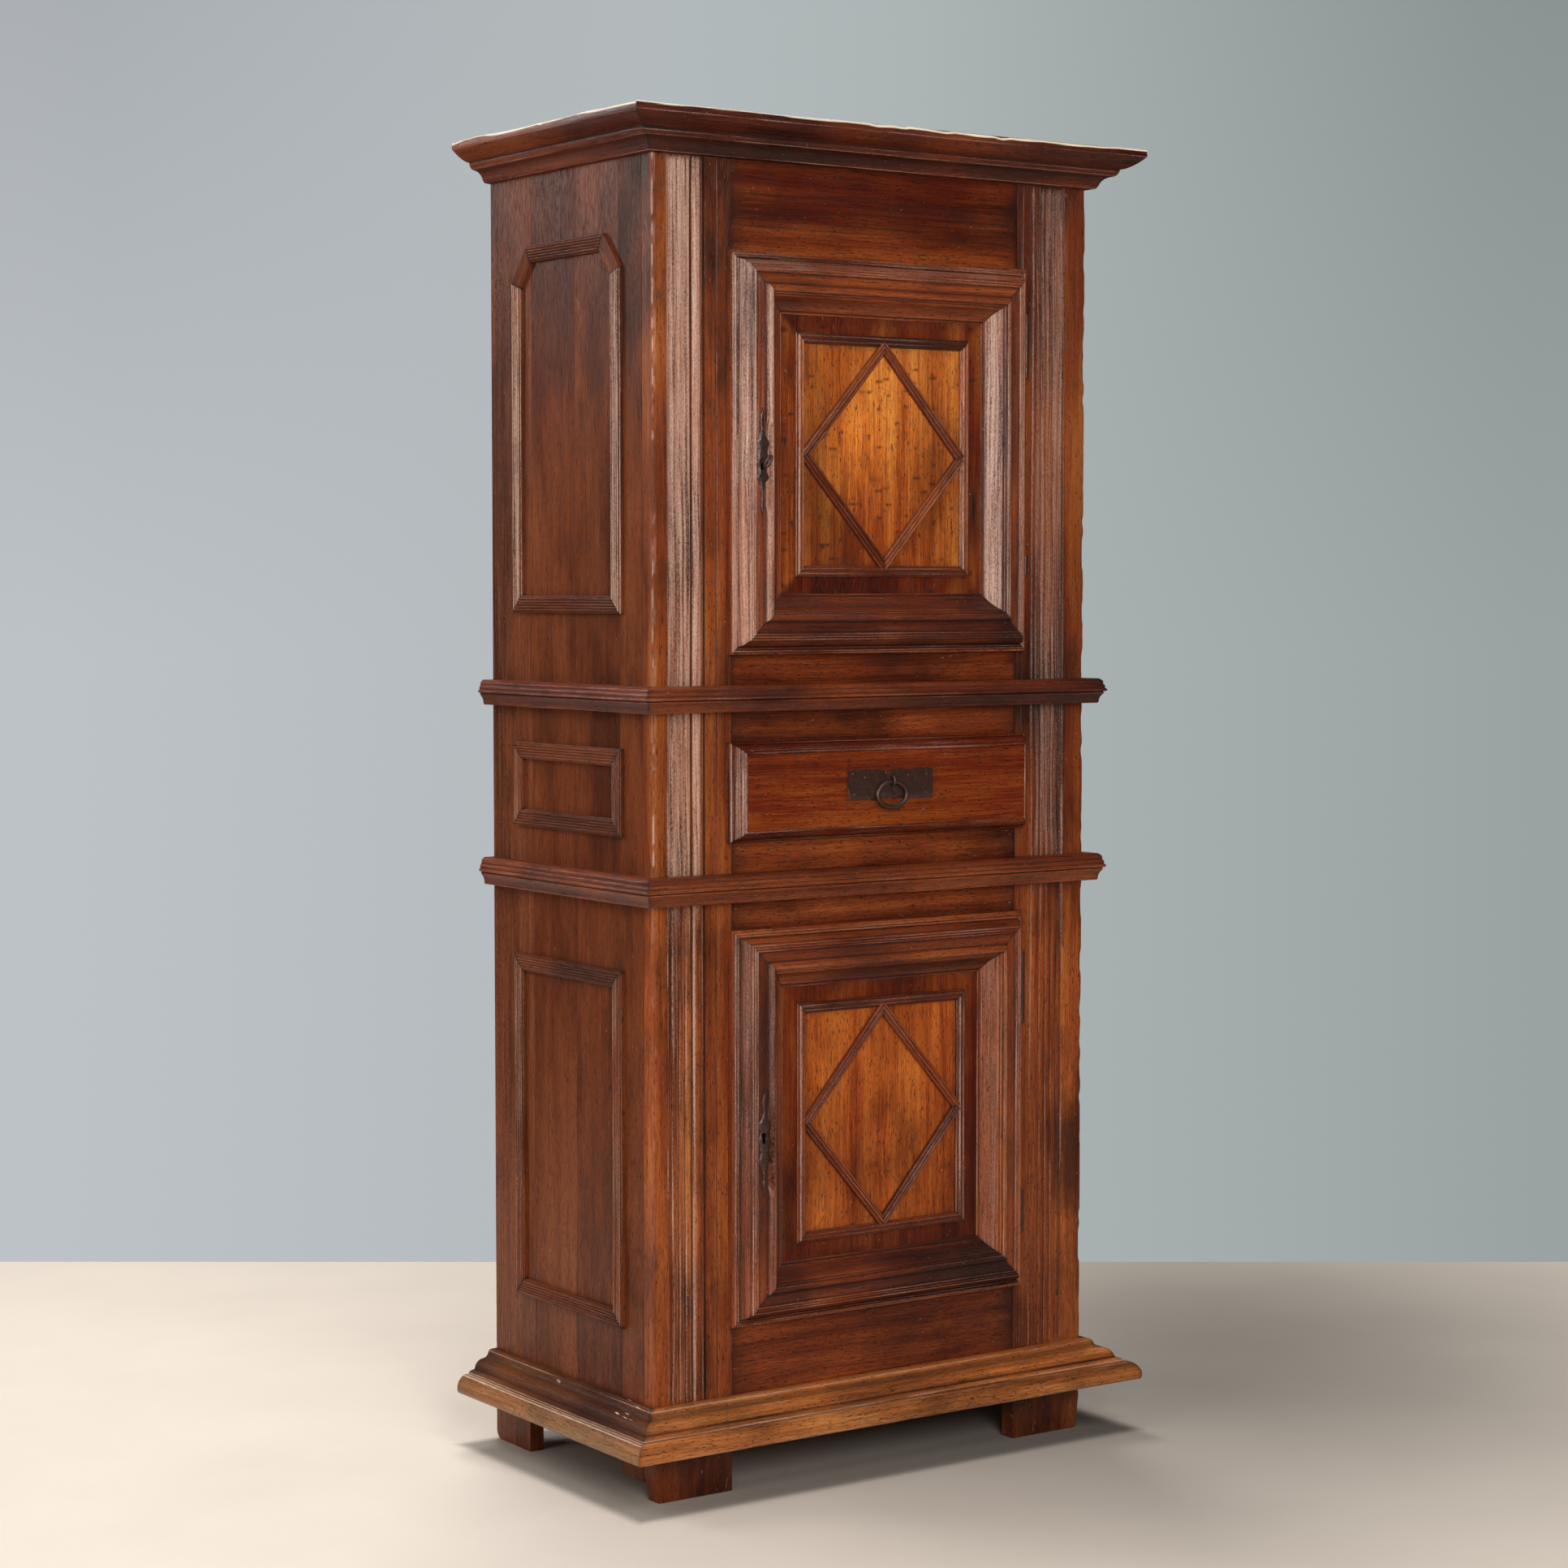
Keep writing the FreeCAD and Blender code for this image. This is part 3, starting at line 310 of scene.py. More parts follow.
def floorMaterial(name, turn, patches, under):
    # a pale even floor, a little mottled, with broad soft shadows: each is a place, its reach to the right of
    # the camera and away from it, and its depth. The last is straight under the base, whose half size, middle
    # and depth are given, and fades inwards
    material, tree, shader = newMaterial(name)
    place = node(tree, "ShaderNodeTexCoord").outputs["Object"]
    smooth = {"interpolation_type": "SMOOTHSTEP"}

    def dimmed(amount, depth):
        return times(tree, light, minus(tree, 1.0, times(tree, amount, depth)))

    light = ranged(tree, noiseMap(tree, place, *floorLook["mottle"]), *floorLook["mottleRange"])
    for centre, reach, depth in patches:
        inputs = {"Vector": place, "Location": (*centre, 0), "Rotation": (0, 0, turn), "Scale": (*reach, 1)}
        spot = node(tree, "ShaderNodeMapping", inputs, vector_type="TEXTURE").outputs[0]
        spot = node(tree, "ShaderNodeTexGradient", {"Vector": spot}, gradient_type="SPHERICAL").outputs["Fac"]
        light = dimmed(ranged(tree, spot, 0.0, 1.0, **smooth), depth)
    halfX, halfY, middleY, depth = under
    plan = node(tree, "ShaderNodeSeparateXYZ", {0: place}).outputs
    insideX = minus(tree, halfX, maths(tree, "ABSOLUTE", plan["X"]))
    insideY = minus(tree, halfY, maths(tree, "ABSOLUTE", minus(tree, plan["Y"], middleY)))
    inside = maths(tree, "MINIMUM", insideX, insideY)
    edge = ranged(tree, inside, *floorLook["edge"], **smooth)
    light = dimmed(edge, ranged(tree, inside, *floorLook["fade"], depth, 0.0, **smooth))
    shaded = node(tree, "ShaderNodeVectorMath", {0: floorLook["color"], "Scale": light}, operation="SCALE")
    connect(tree, shader.inputs["Base Color"], shaded.outputs[0])
    shader.inputs["Roughness"].default_value = floorLook["roughness"]
    shader.inputs["Specular IOR Level"].default_value = floorLook["gloss"]
    return material


# Dark, middle and light tone of each kind of wood, then how stained and how glossy it is
frameWood = woodMaterial("waxedFrameWood", (0.105, 0.015, 0.0025), (0.27, 0.050, 0.009), (0.44, 0.112, 0.020),
                         gloss=0.22)
stileWood = woodMaterial("waxedStileWood", (0.13, 0.021, 0.004), (0.34, 0.070, 0.012), (0.54, 0.165, 0.030),
                         0.8, 0.2, (0.50, 0.42, 0.40, 1))
sideWood = woodMaterial("waxedSideWood", (0.10, 0.019, 0.005), (0.165, 0.038, 0.010), (0.23, 0.064, 0.018),
                        0.6, 0.12, spread=0.14)
mouldWood = woodMaterial("waxedMouldingWood", (0.10, 0.014, 0.003), (0.26, 0.048, 0.009), (0.44, 0.115, 0.022),
                         0.65, 0.3)
panelWood = woodMaterial("waxedPanelWood", (0.33, 0.055, 0.007), (0.66, 0.17, 0.021), (0.86, 0.33, 0.055),
                         0.6, 0.15, (0.20, 0.085, 0.06, 1), spread=0.085)
lowerPanelWood = woodMaterial("waxedLowerPanelWood", (0.28, 0.042, 0.006), (0.54, 0.115, 0.015),
                              (0.72, 0.21, 0.033), 0.6, 0.15, (0.22, 0.12, 0.10, 1), spread=0.085)
drawerWood = woodMaterial("waxedDrawerWood", (0.07, 0.007, 0.0015), (0.15, 0.018, 0.0025), (0.27, 0.057, 0.007),
                          0.55, 0.14, spread=0.09)
rimWood = woodMaterial("wornRimWood", (0.17, 0.047, 0.011), (0.50, 0.155, 0.036), (0.68, 0.30, 0.09),
                       0.6, 0.25, (0.40, 0.46, 0.62, 1))
baseWood = woodMaterial("waxedBaseWood", (0.22, 0.055, 0.012), (0.52, 0.155, 0.036), (0.70, 0.27, 0.075),
                        0.45, 0.2, (0.13, 0.10, 0.13, 1))
insideWood = woodMaterial("dryInsideWood", (0.16, 0.075, 0.035), (0.26, 0.14, 0.07), (0.38, 0.23, 0.12),
                          0.3, 0.15, dry=True)
iron = ironMaterial("forgedIron")
print("materials made")


# Meshes

def gridQuads(rows, columns):
    # four corners of each cell of a grid stored row by row, whose last column is joined to its first
    row, column = np.meshgrid(np.arange(rows - 1), np.arange(columns), indexing="ij")
    after = (column + 1) % columns
    here, following = row * columns, (row + 1) * columns
    quads = [here + column, here + after, following + after, following + column]
    return np.stack(quads, axis=-1).reshape(-1, 4)


def setAttribute(mesh, label, values):
    # one value, or one place of three numbers, at each point of the mesh
    kind, field = ("FLOAT_VECTOR", "vector") if values.ndim > 1 else ("FLOAT", "value")
    mesh.attributes.new(label, kind, "POINT").data.foreach_set(field, values.astype(np.float32).ravel())


def asPiece(name, mesh, material, body):
    # puts the mesh in place of the node of that name
    mesh.materials.clear()
    mesh.materials.append(material)
    piece = bpy.data.objects.new(camel(name), mesh)
    bpy.context.scene.collection.objects.link(piece)
    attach(piece, body)
    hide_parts(name)
    return piece


def madePiece(name, shells, material, body, sharp=32.0):
    # a piece in place of the node of that name. A shell is a closed tube of points, rows by columns, with its
    # two ends capped, or joined if it is a ring
    points, grain, faces, start = [], [], [], 0
    marks = {"wear": [], "soil": [], "shade": [], "bare": []}
    for shell in shells:
        rows, columns = shell["points"].shape[:2]
        points.append(shell["points"].reshape(-1, 3))
        grain.append(shell["grain"].reshape(-1, 3))
        for label, values in marks.items():
            values.append(np.broadcast_to(shell.get(label, 0.0), (rows, columns)).reshape(-1))
        faces += (gridQuads(rows, columns) + start).tolist()
        first, last = np.arange(columns), np.arange(columns) + (rows - 1) * columns
        if shell.get("ring"):
            seam = np.stack([last, np.roll(last, -1), np.roll(first, -1), first], axis=-1)
            faces += (seam + start).tolist()
        else:
            faces += [(end + start).tolist() for end in (first, last)]
        start += rows * columns
    mesh = bpy.data.meshes.new(camel(name))
    mesh.from_pydata(np.concatenate(points).tolist(), [], faces)
    setAttribute(mesh, "grain", np.concatenate(grain))
    for label, values in marks.items():
        setAttribute(mesh, label, np.concatenate(values))
    faceOutward(mesh)
    mesh.polygons.foreach_set("use_smooth", [True] * len(mesh.polygons))
    mesh.set_sharp_from_angle(angle=math.radians(sharp))
    return asPiece(name, mesh, material, body)


def faceOutward(mesh, simplify=False):
    # turns the faces outward, after joining doubled points and flat faces where that is asked for
    work = bmesh.new()
    work.from_mesh(mesh)
    if simplify:
        bmesh.ops.remove_doubles(work, verts=work.verts, dist=0.005 * mm)
        bmesh.ops.dissolve_limit(work, angle_limit=math.radians(0.5), verts=work.verts, edges=work.edges)
    bmesh.ops.recalc_face_normals(work, faces=work.faces)
    work.to_mesh(mesh)
    work.free()


def arcPoints(start, middle, end, step):
    # points along the circle through three points, from start to end
    (ax, ay), (bx, by), (cx, cy) = start, middle, end
    twice = 2 * (ax * (by - cy) + bx * (cy - ay) + cx * (ay - by))
    ux = ((ax**2 + ay**2) * (by - cy) + (bx**2 + by**2) * (cy - ay) + (cx**2 + cy**2) * (ay - by)) / twice
    uy = ((ax**2 + ay**2) * (cx - bx) + (bx**2 + by**2) * (ax - cx) + (cx**2 + cy**2) * (bx - ax)) / twice
    radius = math.hypot(ax - ux, ay - uy)
    first, half, last = [math.atan2(y - uy, x - ux) for x, y in (start, middle, end)]
    turn = (last - first) % (2 * math.pi)
    if (half - first) % (2 * math.pi) > turn:
        turn -= 2 * math.pi
    count = max(3, int(abs(turn) * radius / step) + 1)
    angles = first + turn * np.linspace(0, 1, count)
    return np.stack([ux + radius * np.cos(angles), uy + radius * np.sin(angles)], axis=-1)


def evenSteps(line, step):
    # the same line with points at even distances along it
    length = np.concatenate([[0], np.cumsum(np.linalg.norm(np.diff(line, axis=0), axis=1))])
    count = max(2, int(length[-1] / step) + 1)
    at = np.linspace(0, length[-1], count)
    return np.stack([np.interp(at, length, line[:, k]) for k in range(line.shape[1])], axis=-1)


def averaged(line, width):
    # each point becomes the bell-weighted mean of its neighbours; the two ends stay
    reach = int(3 * width) + 1
    bell = np.exp(-0.5 * (np.arange(-reach, reach + 1) / width) ** 2)
    bell /= bell.sum()
    before = 2 * line[0] - line[1:reach + 1][::-1] if len(line) > reach else np.repeat(line[:1], reach, 0)
    after = 2 * line[-1] - line[-reach - 1:-1][::-1] if len(line) > reach else np.repeat(line[-1:], reach, 0)
    padded = np.concatenate([before, line, after])
    return np.stack([np.convolve(padded[:, k], bell, "valid") for k in range(line.shape[1])], axis=-1)


# Lengths over which a moulding's outline is drawn, compared with itself, and counts as an arris or a quirk
outline = {"fine": 0.2 * mm, "near": 2.0 * mm, "far": 5.0 * mm, "arris": 0.55 * mm, "quirk": 0.50 * mm,
           "hollow": 2.5 * mm, "hollowSoil": 0.2}


def section(shares, width, height, step, softness=0.35 * mm):
    # a moulding's outline from its table of shares, where "m" marks the middle of an arc, rounded a little and
    # cut into even steps, with how far each point stands out as an arris and lies in as a quirk
    place = [(item[0] * width, item[1] * height) for item in shares]
    runs = [np.array([place[0]])]
    index = 0
    while index < len(shares) - 1:
        if len(shares[index + 1]) > 2:
            runs.append(arcPoints(place[index], place[index + 1], place[index + 2], outline["fine"])[1:])
            index += 2
        else:
            runs.append(np.array([place[index + 1]]))
            index += 1
    fine = evenSteps(np.concatenate(runs), outline["fine"])
    sizes = (softness, outline["near"], outline["far"])
    rounded, near, far = [averaged(fine, size / outline["fine"]) for size in sizes]
    along = np.gradient(rounded, axis=0)
    normal = np.stack([-along[:, 1], along[:, 0]], axis=-1)
    normal /= np.linalg.norm(normal, axis=1, keepdims=True) + 1e-12
    if normal[len(normal) // 2, 1] < 0:
        normal = -normal
    standsOut = ((rounded - near) * normal).sum(axis=1)
    hollow = np.clip(-((rounded - far) * normal).sum(axis=1) / outline["hollow"], 0, outline["hollowSoil"])
    count = max(8, int(len(fine) * outline["fine"] / step))
    keep = np.round(np.linspace(0, len(fine) - 1, count)).astype(int)
    return {"points": rounded[keep], "normal": normal[keep],
            "wear": np.clip(standsOut[keep] / outline["arris"], 0, 1),
            "soil": np.clip(-standsOut[keep] / outline["quirk"] + hollow[keep], 0, 1)}


def grainOf(*parts):
    # the places in the grain, moved by chance
    return np.stack(np.broadcast_arrays(*parts), axis=-1) + chance.uniform(0, 9, 3)


# How frames age: cells of the noises, then how a face sways and how arrises chip and joints darken
frameAge = {"step": 6 * mm, "edge": 1.5 * mm, "chipCells": (14 * mm, 5 * mm), "chipBand": (0.25, 0.75),
            "waveCell": 70 * mm, "chipped": (0.35, 0.65), "patchCell": 45 * mm, "corner": (0.5 * mm, 5 * mm)}


def mouldingRun(profile, start, along, across, out, length, cuts, rub=0.5 * mm, wave=0.25 * mm, fineAt=None):
    # a point (a, h) of the section stands at start + along*t + across*a + out*h; t runs between the two
    # mitres, which move in by a times their slope; worn arrises and slow waves only take wood away
    age = frameAge
    a, h = profile["points"].T
    low = cuts[0] * a
    high = length - cuts[1] * a
    share = np.linspace(0, 1, max(3, int(length / age["step"])))
    if fineAt:      # rows a millimetre apart around one place
        middle, reach = fineAt
        share = np.union1d(share, np.arange(middle - reach, middle + reach, mm) / length)
    share = share[:, None]
    t = low + (high - low) * share
    points = start + t[..., None] * along + a[:, None] * across + h[:, None] * out
    normal = profile["normal"][:, :1] * across + profile["normal"][:, 1:] * out
    wear = profile["wear"]
    chipCell, nickCell = age["chipCells"]
    chips = rise(noise(points, chipCell, 3.0), *age["chipBand"]) * noise(points, nickCell) * 0.5 + 0.5
    least, more = age["chipped"]
    sink = wave * between(points, age["waveCell"]) + rub * wear * (least + more * chips)
    points = points - (sink * rise(h, 0.0, age["edge"]))[..., None] * normal
    patch = between(points, age["patchCell"], 8.0)
    corner = fall(np.minimum(share, 1 - share) * length, *age["corner"])
    return {"points": points, "grain": grainOf(t, a, h), "wear": wear * (0.55 + 0.45 * patch),
            "soil": np.clip(profile["soil"] * (0.75 + 0.35 * patch) + 0.6 * corner, 0, 1)}


def frameRuns(corners, profile, side, surface, fineSides=None, **options):
    # the sides of a mitred frame round a flat face. Corners run anticlockwise as seen by the viewer,
    # side gives the face's right, up and outward directions, surface is a point of its plane
    right, up, outward = [np.array(v, float) for v in side]
    runs = []
    count = len(corners)
    flat = np.array(corners, float)
    steps = np.roll(flat, -1, axis=0) - flat
    lengths = np.linalg.norm(steps, axis=1)
    units = steps / lengths[:, None]
    slopes = []
    for before, after in zip(np.roll(units, 1, axis=0), units):
        turn = math.atan2(before[0] * after[1] - before[1] * after[0], before @ after)
        slopes.append(math.tan(turn / 2))
    for k in range(count):
        u = units[k]
        start = np.array(surface) + flat[k][0] * right + flat[k][1] * up
        runs.append(mouldingRun(profile, start, u[0] * right + u[1] * up, -u[1] * right + u[0] * up, outward,
                                lengths[k], (slopes[k], slopes[(k + 1) % count]),
                                fineAt=(fineSides or {}).get(k), **options))
    return runs


def loopSection(corners, radius, step):
    # a closed outline: each corner becomes a small round of four points and each side is cut into steps
    corners = np.array(corners, float)
    points, edge = [], []
    for k, here in enumerate(corners):
        back = corners[k - 1] - here
        ahead = corners[(k + 1) % len(corners)] - here
        length = np.linalg.norm(ahead)
        start = here + back / np.linalg.norm(back) * radius
        end = here + ahead / length * radius
        for share in (0.0, 0.33, 0.67, 1.0):
            points.append((1 - share) ** 2 * start + 2 * share * (1 - share) * here + share**2 * end)
            edge.append(1.0)
        count = max(1, int((length - 2 * radius) / step))
        stop = here + ahead - ahead / length * radius
        for share in np.arange(1, count) / count:
            points.append(end + (stop - end) * share)
            edge.append(0.0)
    return np.array(points), np.array(edge)


boardAge = {"flat": 0.97, "rippleCell": 90 * mm, "wearCell": 30 * mm}


def boardShell(low, high, grain, radius, step, rowStep=14 * mm, wave=0.35 * mm, shape=None, edgeWear=0.6,
               edgeSoil=0.0):
    # a board: its outline across the grain, carried along the grain, with rounded ends and slow waves that
    # only take wood away. shape(points, marks) may move the points and change the marks
    axis = "xyz".index(grain)
    first, second = [k for k in range(3) if k != axis]
    corners = [(low[first], low[second]), (high[first], low[second]), (high[first], high[second]),
               (low[first], high[second])]
    loop, edge = loopSection(corners, radius, step)
    middle = (loop.min(axis=0) + loop.max(axis=0)) / 2
    half = (loop.max(axis=0) - loop.min(axis=0)) / 2
    length = high[axis] - low[axis]
    count = max(2, int(length / rowStep))
    rows = np.concatenate([[0, radius], np.arange(1, count) / count * length, [length - radius, length]])
    rows = np.unique(np.clip(rows, 0, length))
    atEnd = 1 - np.clip(np.minimum(rows, length - rows) / radius, 0, 1)
    pull = 1 - atEnd[:, None] * radius / half
    points = np.zeros((len(rows), len(loop), 3))
    inward = np.zeros_like(points)
    for k, direction in enumerate((first, second)):
        points[..., direction] = middle[k] + (loop[:, k] - middle[k]) * pull[:, k:k + 1]
        inward[..., direction] = -(points[..., direction] - middle[k]) / half[k]
    points[..., axis] = low[axis] + rows[:, None]
    inward = np.sign(inward) * np.clip((np.abs(inward) - boardAge["flat"]) / (1 - boardAge["flat"]), 0, 1)
    ripple = between(points, boardAge["rippleCell"], chance.uniform(0, 9))
    points = points + inward * (wave * ripple)[..., None]
    wear = np.maximum(edge[None], atEnd[:, None]) * edgeWear * between(points, boardAge["wearCell"])
    marks = {"wear": wear, "soil": edge[None] * edgeSoil + 0 * wear}
    offset = chance.uniform(0, 9, 3)
    if shape:
        points = shape(points, marks)
    return {"points": points, "grain": points[..., [axis, first, second]] + offset, **marks}


def cadBox(name):
    low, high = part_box(name)
    return np.array(low), np.array(high)


# Places that several pieces share
stileLow = cadBox("front_stile_left")[0]
front = stileLow[1]
halfWidth = -stileLow[0]
back = cadBox("back_boards")[1][1]
frontSide = ((1, 0, 0), (0, 0, 1), (0, -1, 0))


# Front stiles with a sunk channel of reeds

stiles = {
    "channelWidth": 41 * mm, "channelDepth": 5.5 * mm, "cove": 8 * mm, "reeds": 3, "reedHeight": 2.2 * mm,
    "quirk": 2.4 * mm, "bead": 18 * mm, "beadDepth": 4.5 * mm, "scoreGap": 19 * mm, "scoreDepth": 1.2 * mm,
    "scoreWidth": 1.6 * mm, "inset": {"left": 26 * mm, "right": 42 * mm}, "wander": 0.5 * mm,
    "bottom": 136 * mm, "topGap": 50 * mm, "run": 12 * mm, "round": 1.2 * mm, "step": 1.35 * mm,
    "rowStep": 6 * mm, "cornerWear": 3.2 * mm, "cornerReach": 7 * mm, "footTaper": 7 * mm,
    "footHeight": 40 * mm, "footWidth": 40 * mm,
}
# How the stiles age, painted sheen included: strengths of each mark, and the heights in metres
# between which they change
stileAge = {
    "rub": {"left": 0.95, "right": 0.55}, "lowRub": 0.28, "lowCorner": 0.3, "rubHeights": (0.80, 0.95),
    "oldWear": 0.4, "crest": 0.9, "innerCrest": 0.35, "hollowSoil": 0.75, "near": 1.6 * mm,
    "shadeHeights": (0.75, 1.10), "outerShade": 0.7, "innerShade": (0.45, 0.30), "rightShade": 0.25,
    "grimeHeights": (1.50, 1.80), "mostGrime": 0.9, "bare": 0.3, "brokenBand": (-0.05, 0.55),
    "footHeights": (0.070, 0.110), "footShade": 0.7, "footSoil": 0.36, "footScuff": 0.5,
}


def topDarkening(points):
    # darker in patches towards the top of the side's front edge
    patch = 0.65 + 0.5 * noise(points, 55 * mm, 6.0)
    return np.clip(rise(points[..., 2], *stileAge["grimeHeights"]) * patch, 0, stileAge["mostGrime"])


def channelDepthAt(across):
    # depth against the distance across: a quarter round down into the channel, round reeds on its floor,
    # a quirk at full depth, a half round bead that rises back to the face, a quirk and a thin scored line
    width, cove, quirk, bead = [stiles[k] for k in ("channelWidth", "cove", "quirk", "bead")]
    down = np.clip(across / cove, 0, 1)
    floorDepth = np.sqrt(np.clip(1 - (1 - down) ** 2, 0, 1)) * stiles["channelDepth"]
    part = ((across - cove) / ((width - cove) / stiles["reeds"])) % 1.0
    reed = np.sqrt(np.clip(1 - (2 * part - 1) ** 2, 0, 1)) * stiles["reedHeight"]
    depth = np.where((across > 0) & (across < width + quirk), floorDepth, 0)
    depth = depth - np.where((across > cove) & (across < width), reed, 0)
    onBead = (across - width - quirk) / bead * 2 - 1
    beadCut = (1 - np.sqrt(np.clip(1 - onBead ** 2, 0, 1))) * stiles["beadDepth"]
    depth = np.where(np.abs(onBead) <= 1, beadCut, depth)
    end = width + quirk + bead
    depth = np.where((across > end) & (across < end + quirk), stiles["beadDepth"], depth)
    score = np.clip(1 - np.abs(across - end - quirk - stiles["scoreGap"]) / stiles["scoreWidth"], 0, 1)
    return depth + score * stiles["scoreDepth"]


def cutChannel(points, marks, word, side, top):
    # returns how deep each point sinks: the channel's depth, on the face, between its two run-out ends.
    # Hollows are dark; crests, reeds and bead are rubbed pale by their strength, less low down, a pale that
    # is partly wear and partly painted sheen, stronger on the left stile
    age = stileAge
    x, y, z = split(points)
    end = top - stiles["topGap"]
    cut = rise(front + 2.5 * mm - y, 0, 2 * mm) * rise(z, stiles["bottom"], stiles["bottom"] + stiles["run"])
    cut = cut * fall(z, end, end + stiles["run"])
    across = halfWidth - side * x - stiles["inset"][word]
    across = across + stiles["wander"] * noise(points * plumbLine, 160 * mm, 2.0)
    depth = channelDepthAt(across)
    around = (channelDepthAt(across + age["near"]) + channelDepthAt(across - age["near"])) / 2
    raiseMark(marks, "soil", np.clip((depth - around) / (0.5 * mm), 0, 1) * cut * age["hollowSoil"])
    crest = np.clip((around - depth) / (0.35 * mm), 0, 1) * cut
    width, bead = stiles["channelWidth"], stiles["bead"]
    beadStart = width + stiles["quirk"]
    reeds = rise(across, 0, 2 * mm) * fall(across, width - 1.5 * mm, width)
    onBead = rise(across, beadStart, beadStart + 2 * mm)
    onBead = onBead * fall(across, beadStart + 0.55 * bead, beadStart + 0.8 * bead)
    # the pale is partly painted sheen, so the left stile is paler than the right
    strength = age["rub"][word]
    rubbed = strength * (reeds + onBead) * cut
    rubbed = rubbed * (age["lowRub"] + (1 - age["lowRub"]) * rise(z, *age["rubHeights"]))
    rubbed *= 0.85 + 0.15 * noise(points * (1, 0, 0.1), 6 * mm, 2.0)
    crest = crest * np.where(across > beadStart + bead, age["innerCrest"], age["crest"] * strength)
    marks["wear"] = np.maximum(np.maximum(marks["wear"] * age["oldWear"], crest), rubbed)
    inner = rise(across, beadStart, beadStart + bead)
    aloft = rise(z, *age["shadeHeights"])
    low, more = age["innerShade"]
    shade = inner * (low + more * aloft) + age["rightShade"] * (side > 0)
    shade = shade + age["outerShade"] * aloft * (1 - inner)
    marks["shade"] = np.clip(shade + 0.4 * noise(points, 120 * mm, 7.0), 0, 1)
    return depth * cut


def frontStile(word, side):
    # a board cut by the channel, with its outer front corner worn away, pale where it is freshly broken, and
    # its foot tapered and scuffed
    low, high = cadBox("front_stile_" + word)

    def shape(points, marks):
        age = stileAge
        x, y, z = split(points)
        y = y + cutChannel(points, marks, word, side, high[2])
        onSide = rise(side * x, halfWidth - 4 * mm, halfWidth - 1.5 * mm)
        onSide = onSide * rise(y, front + 3 * mm, front + 6 * mm)
        raiseMark(marks, "soil", onSide * topDarkening(points))
        line = points * plumbLine
        distance = np.hypot(x - side * halfWidth, y - front)
        nick = 0.35 + 0.65 * rise(noise(line, 17 * mm, 5.0) + 0.6 * noise(line, 60 * mm), -0.3, 0.9)
        loss = fall(distance, 0, stiles["cornerReach"]) * stiles["cornerWear"] * nick
        x = x - side * loss * 0.7
        y = y + loss * 0.7
        broken = 0.4 * noise(line, 5 * mm, 4.0) + 0.6 * noise(line, 14 * mm, 1.0)
        broken = rise(broken + 0.7 * noise(line, 75 * mm, 2.0), *age["brokenBand"])
        foot = fall(z, *age["footHeights"])
        strength = (1 - foot) * (age["lowCorner"] + (1 - age["lowCorner"]) * rise(z, *age["rubHeights"]))
        raiseMark(marks, "wear", fall(distance, 1.5 * mm, 5.5 * mm) * (0.15 + 0.4 * broken) * strength)
        marks["bare"] = fall(distance, 0.3 * mm, 1.5 * mm) * broken * strength * age["bare"]
        raiseMark(marks, "shade", age["footShade"] * foot)
        raiseMark(marks, "soil", foot * (age["footSoil"] + 0.2 * noise(points, 25 * mm, 3.0)))
        scuff = rise(noise(points, 9 * mm, 2.0) + 0.5 * noise(points, 3 * mm), 0.45, 0.9)
        raiseMark(marks, "wear", scuff * foot * age["footScuff"])
        outer = rise(side * x, halfWidth - stiles["footWidth"], halfWidth)
        x = x - side * fall(z, 0, stiles["footHeight"]) * outer * stiles["footTaper"]
        return joined(x, y, z)

    first, last = sorted((side * halfWidth, low[0] if side > 0 else high[0]))
    return boardShell((first, front, low[2]), (last, high[1], high[2]), "z", stiles["round"], stiles["step"],
                      stiles["rowStep"], shape=shape, edgeSoil=0.2)


for word, side in (("left", -1), ("right", 1)):
    madePiece("front_stile_" + word, [frontStile(word, side)], stileWood, "carcass")
print("front stiles made")


# Rails between the stiles; the top one has fine grooves run along it

rails = {
    "inset": 1.2 * mm, "thick": 28 * mm, "face": 11 * mm, "round": 0.6 * mm, "fineStep": 1.1 * mm,
    "step": 5 * mm, "rowStep": 8 * mm, "grooveBottom": 1846 * mm, "grooveTop": 1893 * mm, "grooves": 6,
    "grooveDepth": 1.7 * mm, "grooveWidth": 2.6 * mm, "grooveWander": 0.8 * mm, "grimeReach": 45 * mm,
    "shadeHeights": (1825 * mm, 1860 * mm),
    "shade": {"top_rail": 0.9, "upper_waist_rail": 0.35, "lower_waist_rail": 0.4, "bottom_rail": 0.4},
}


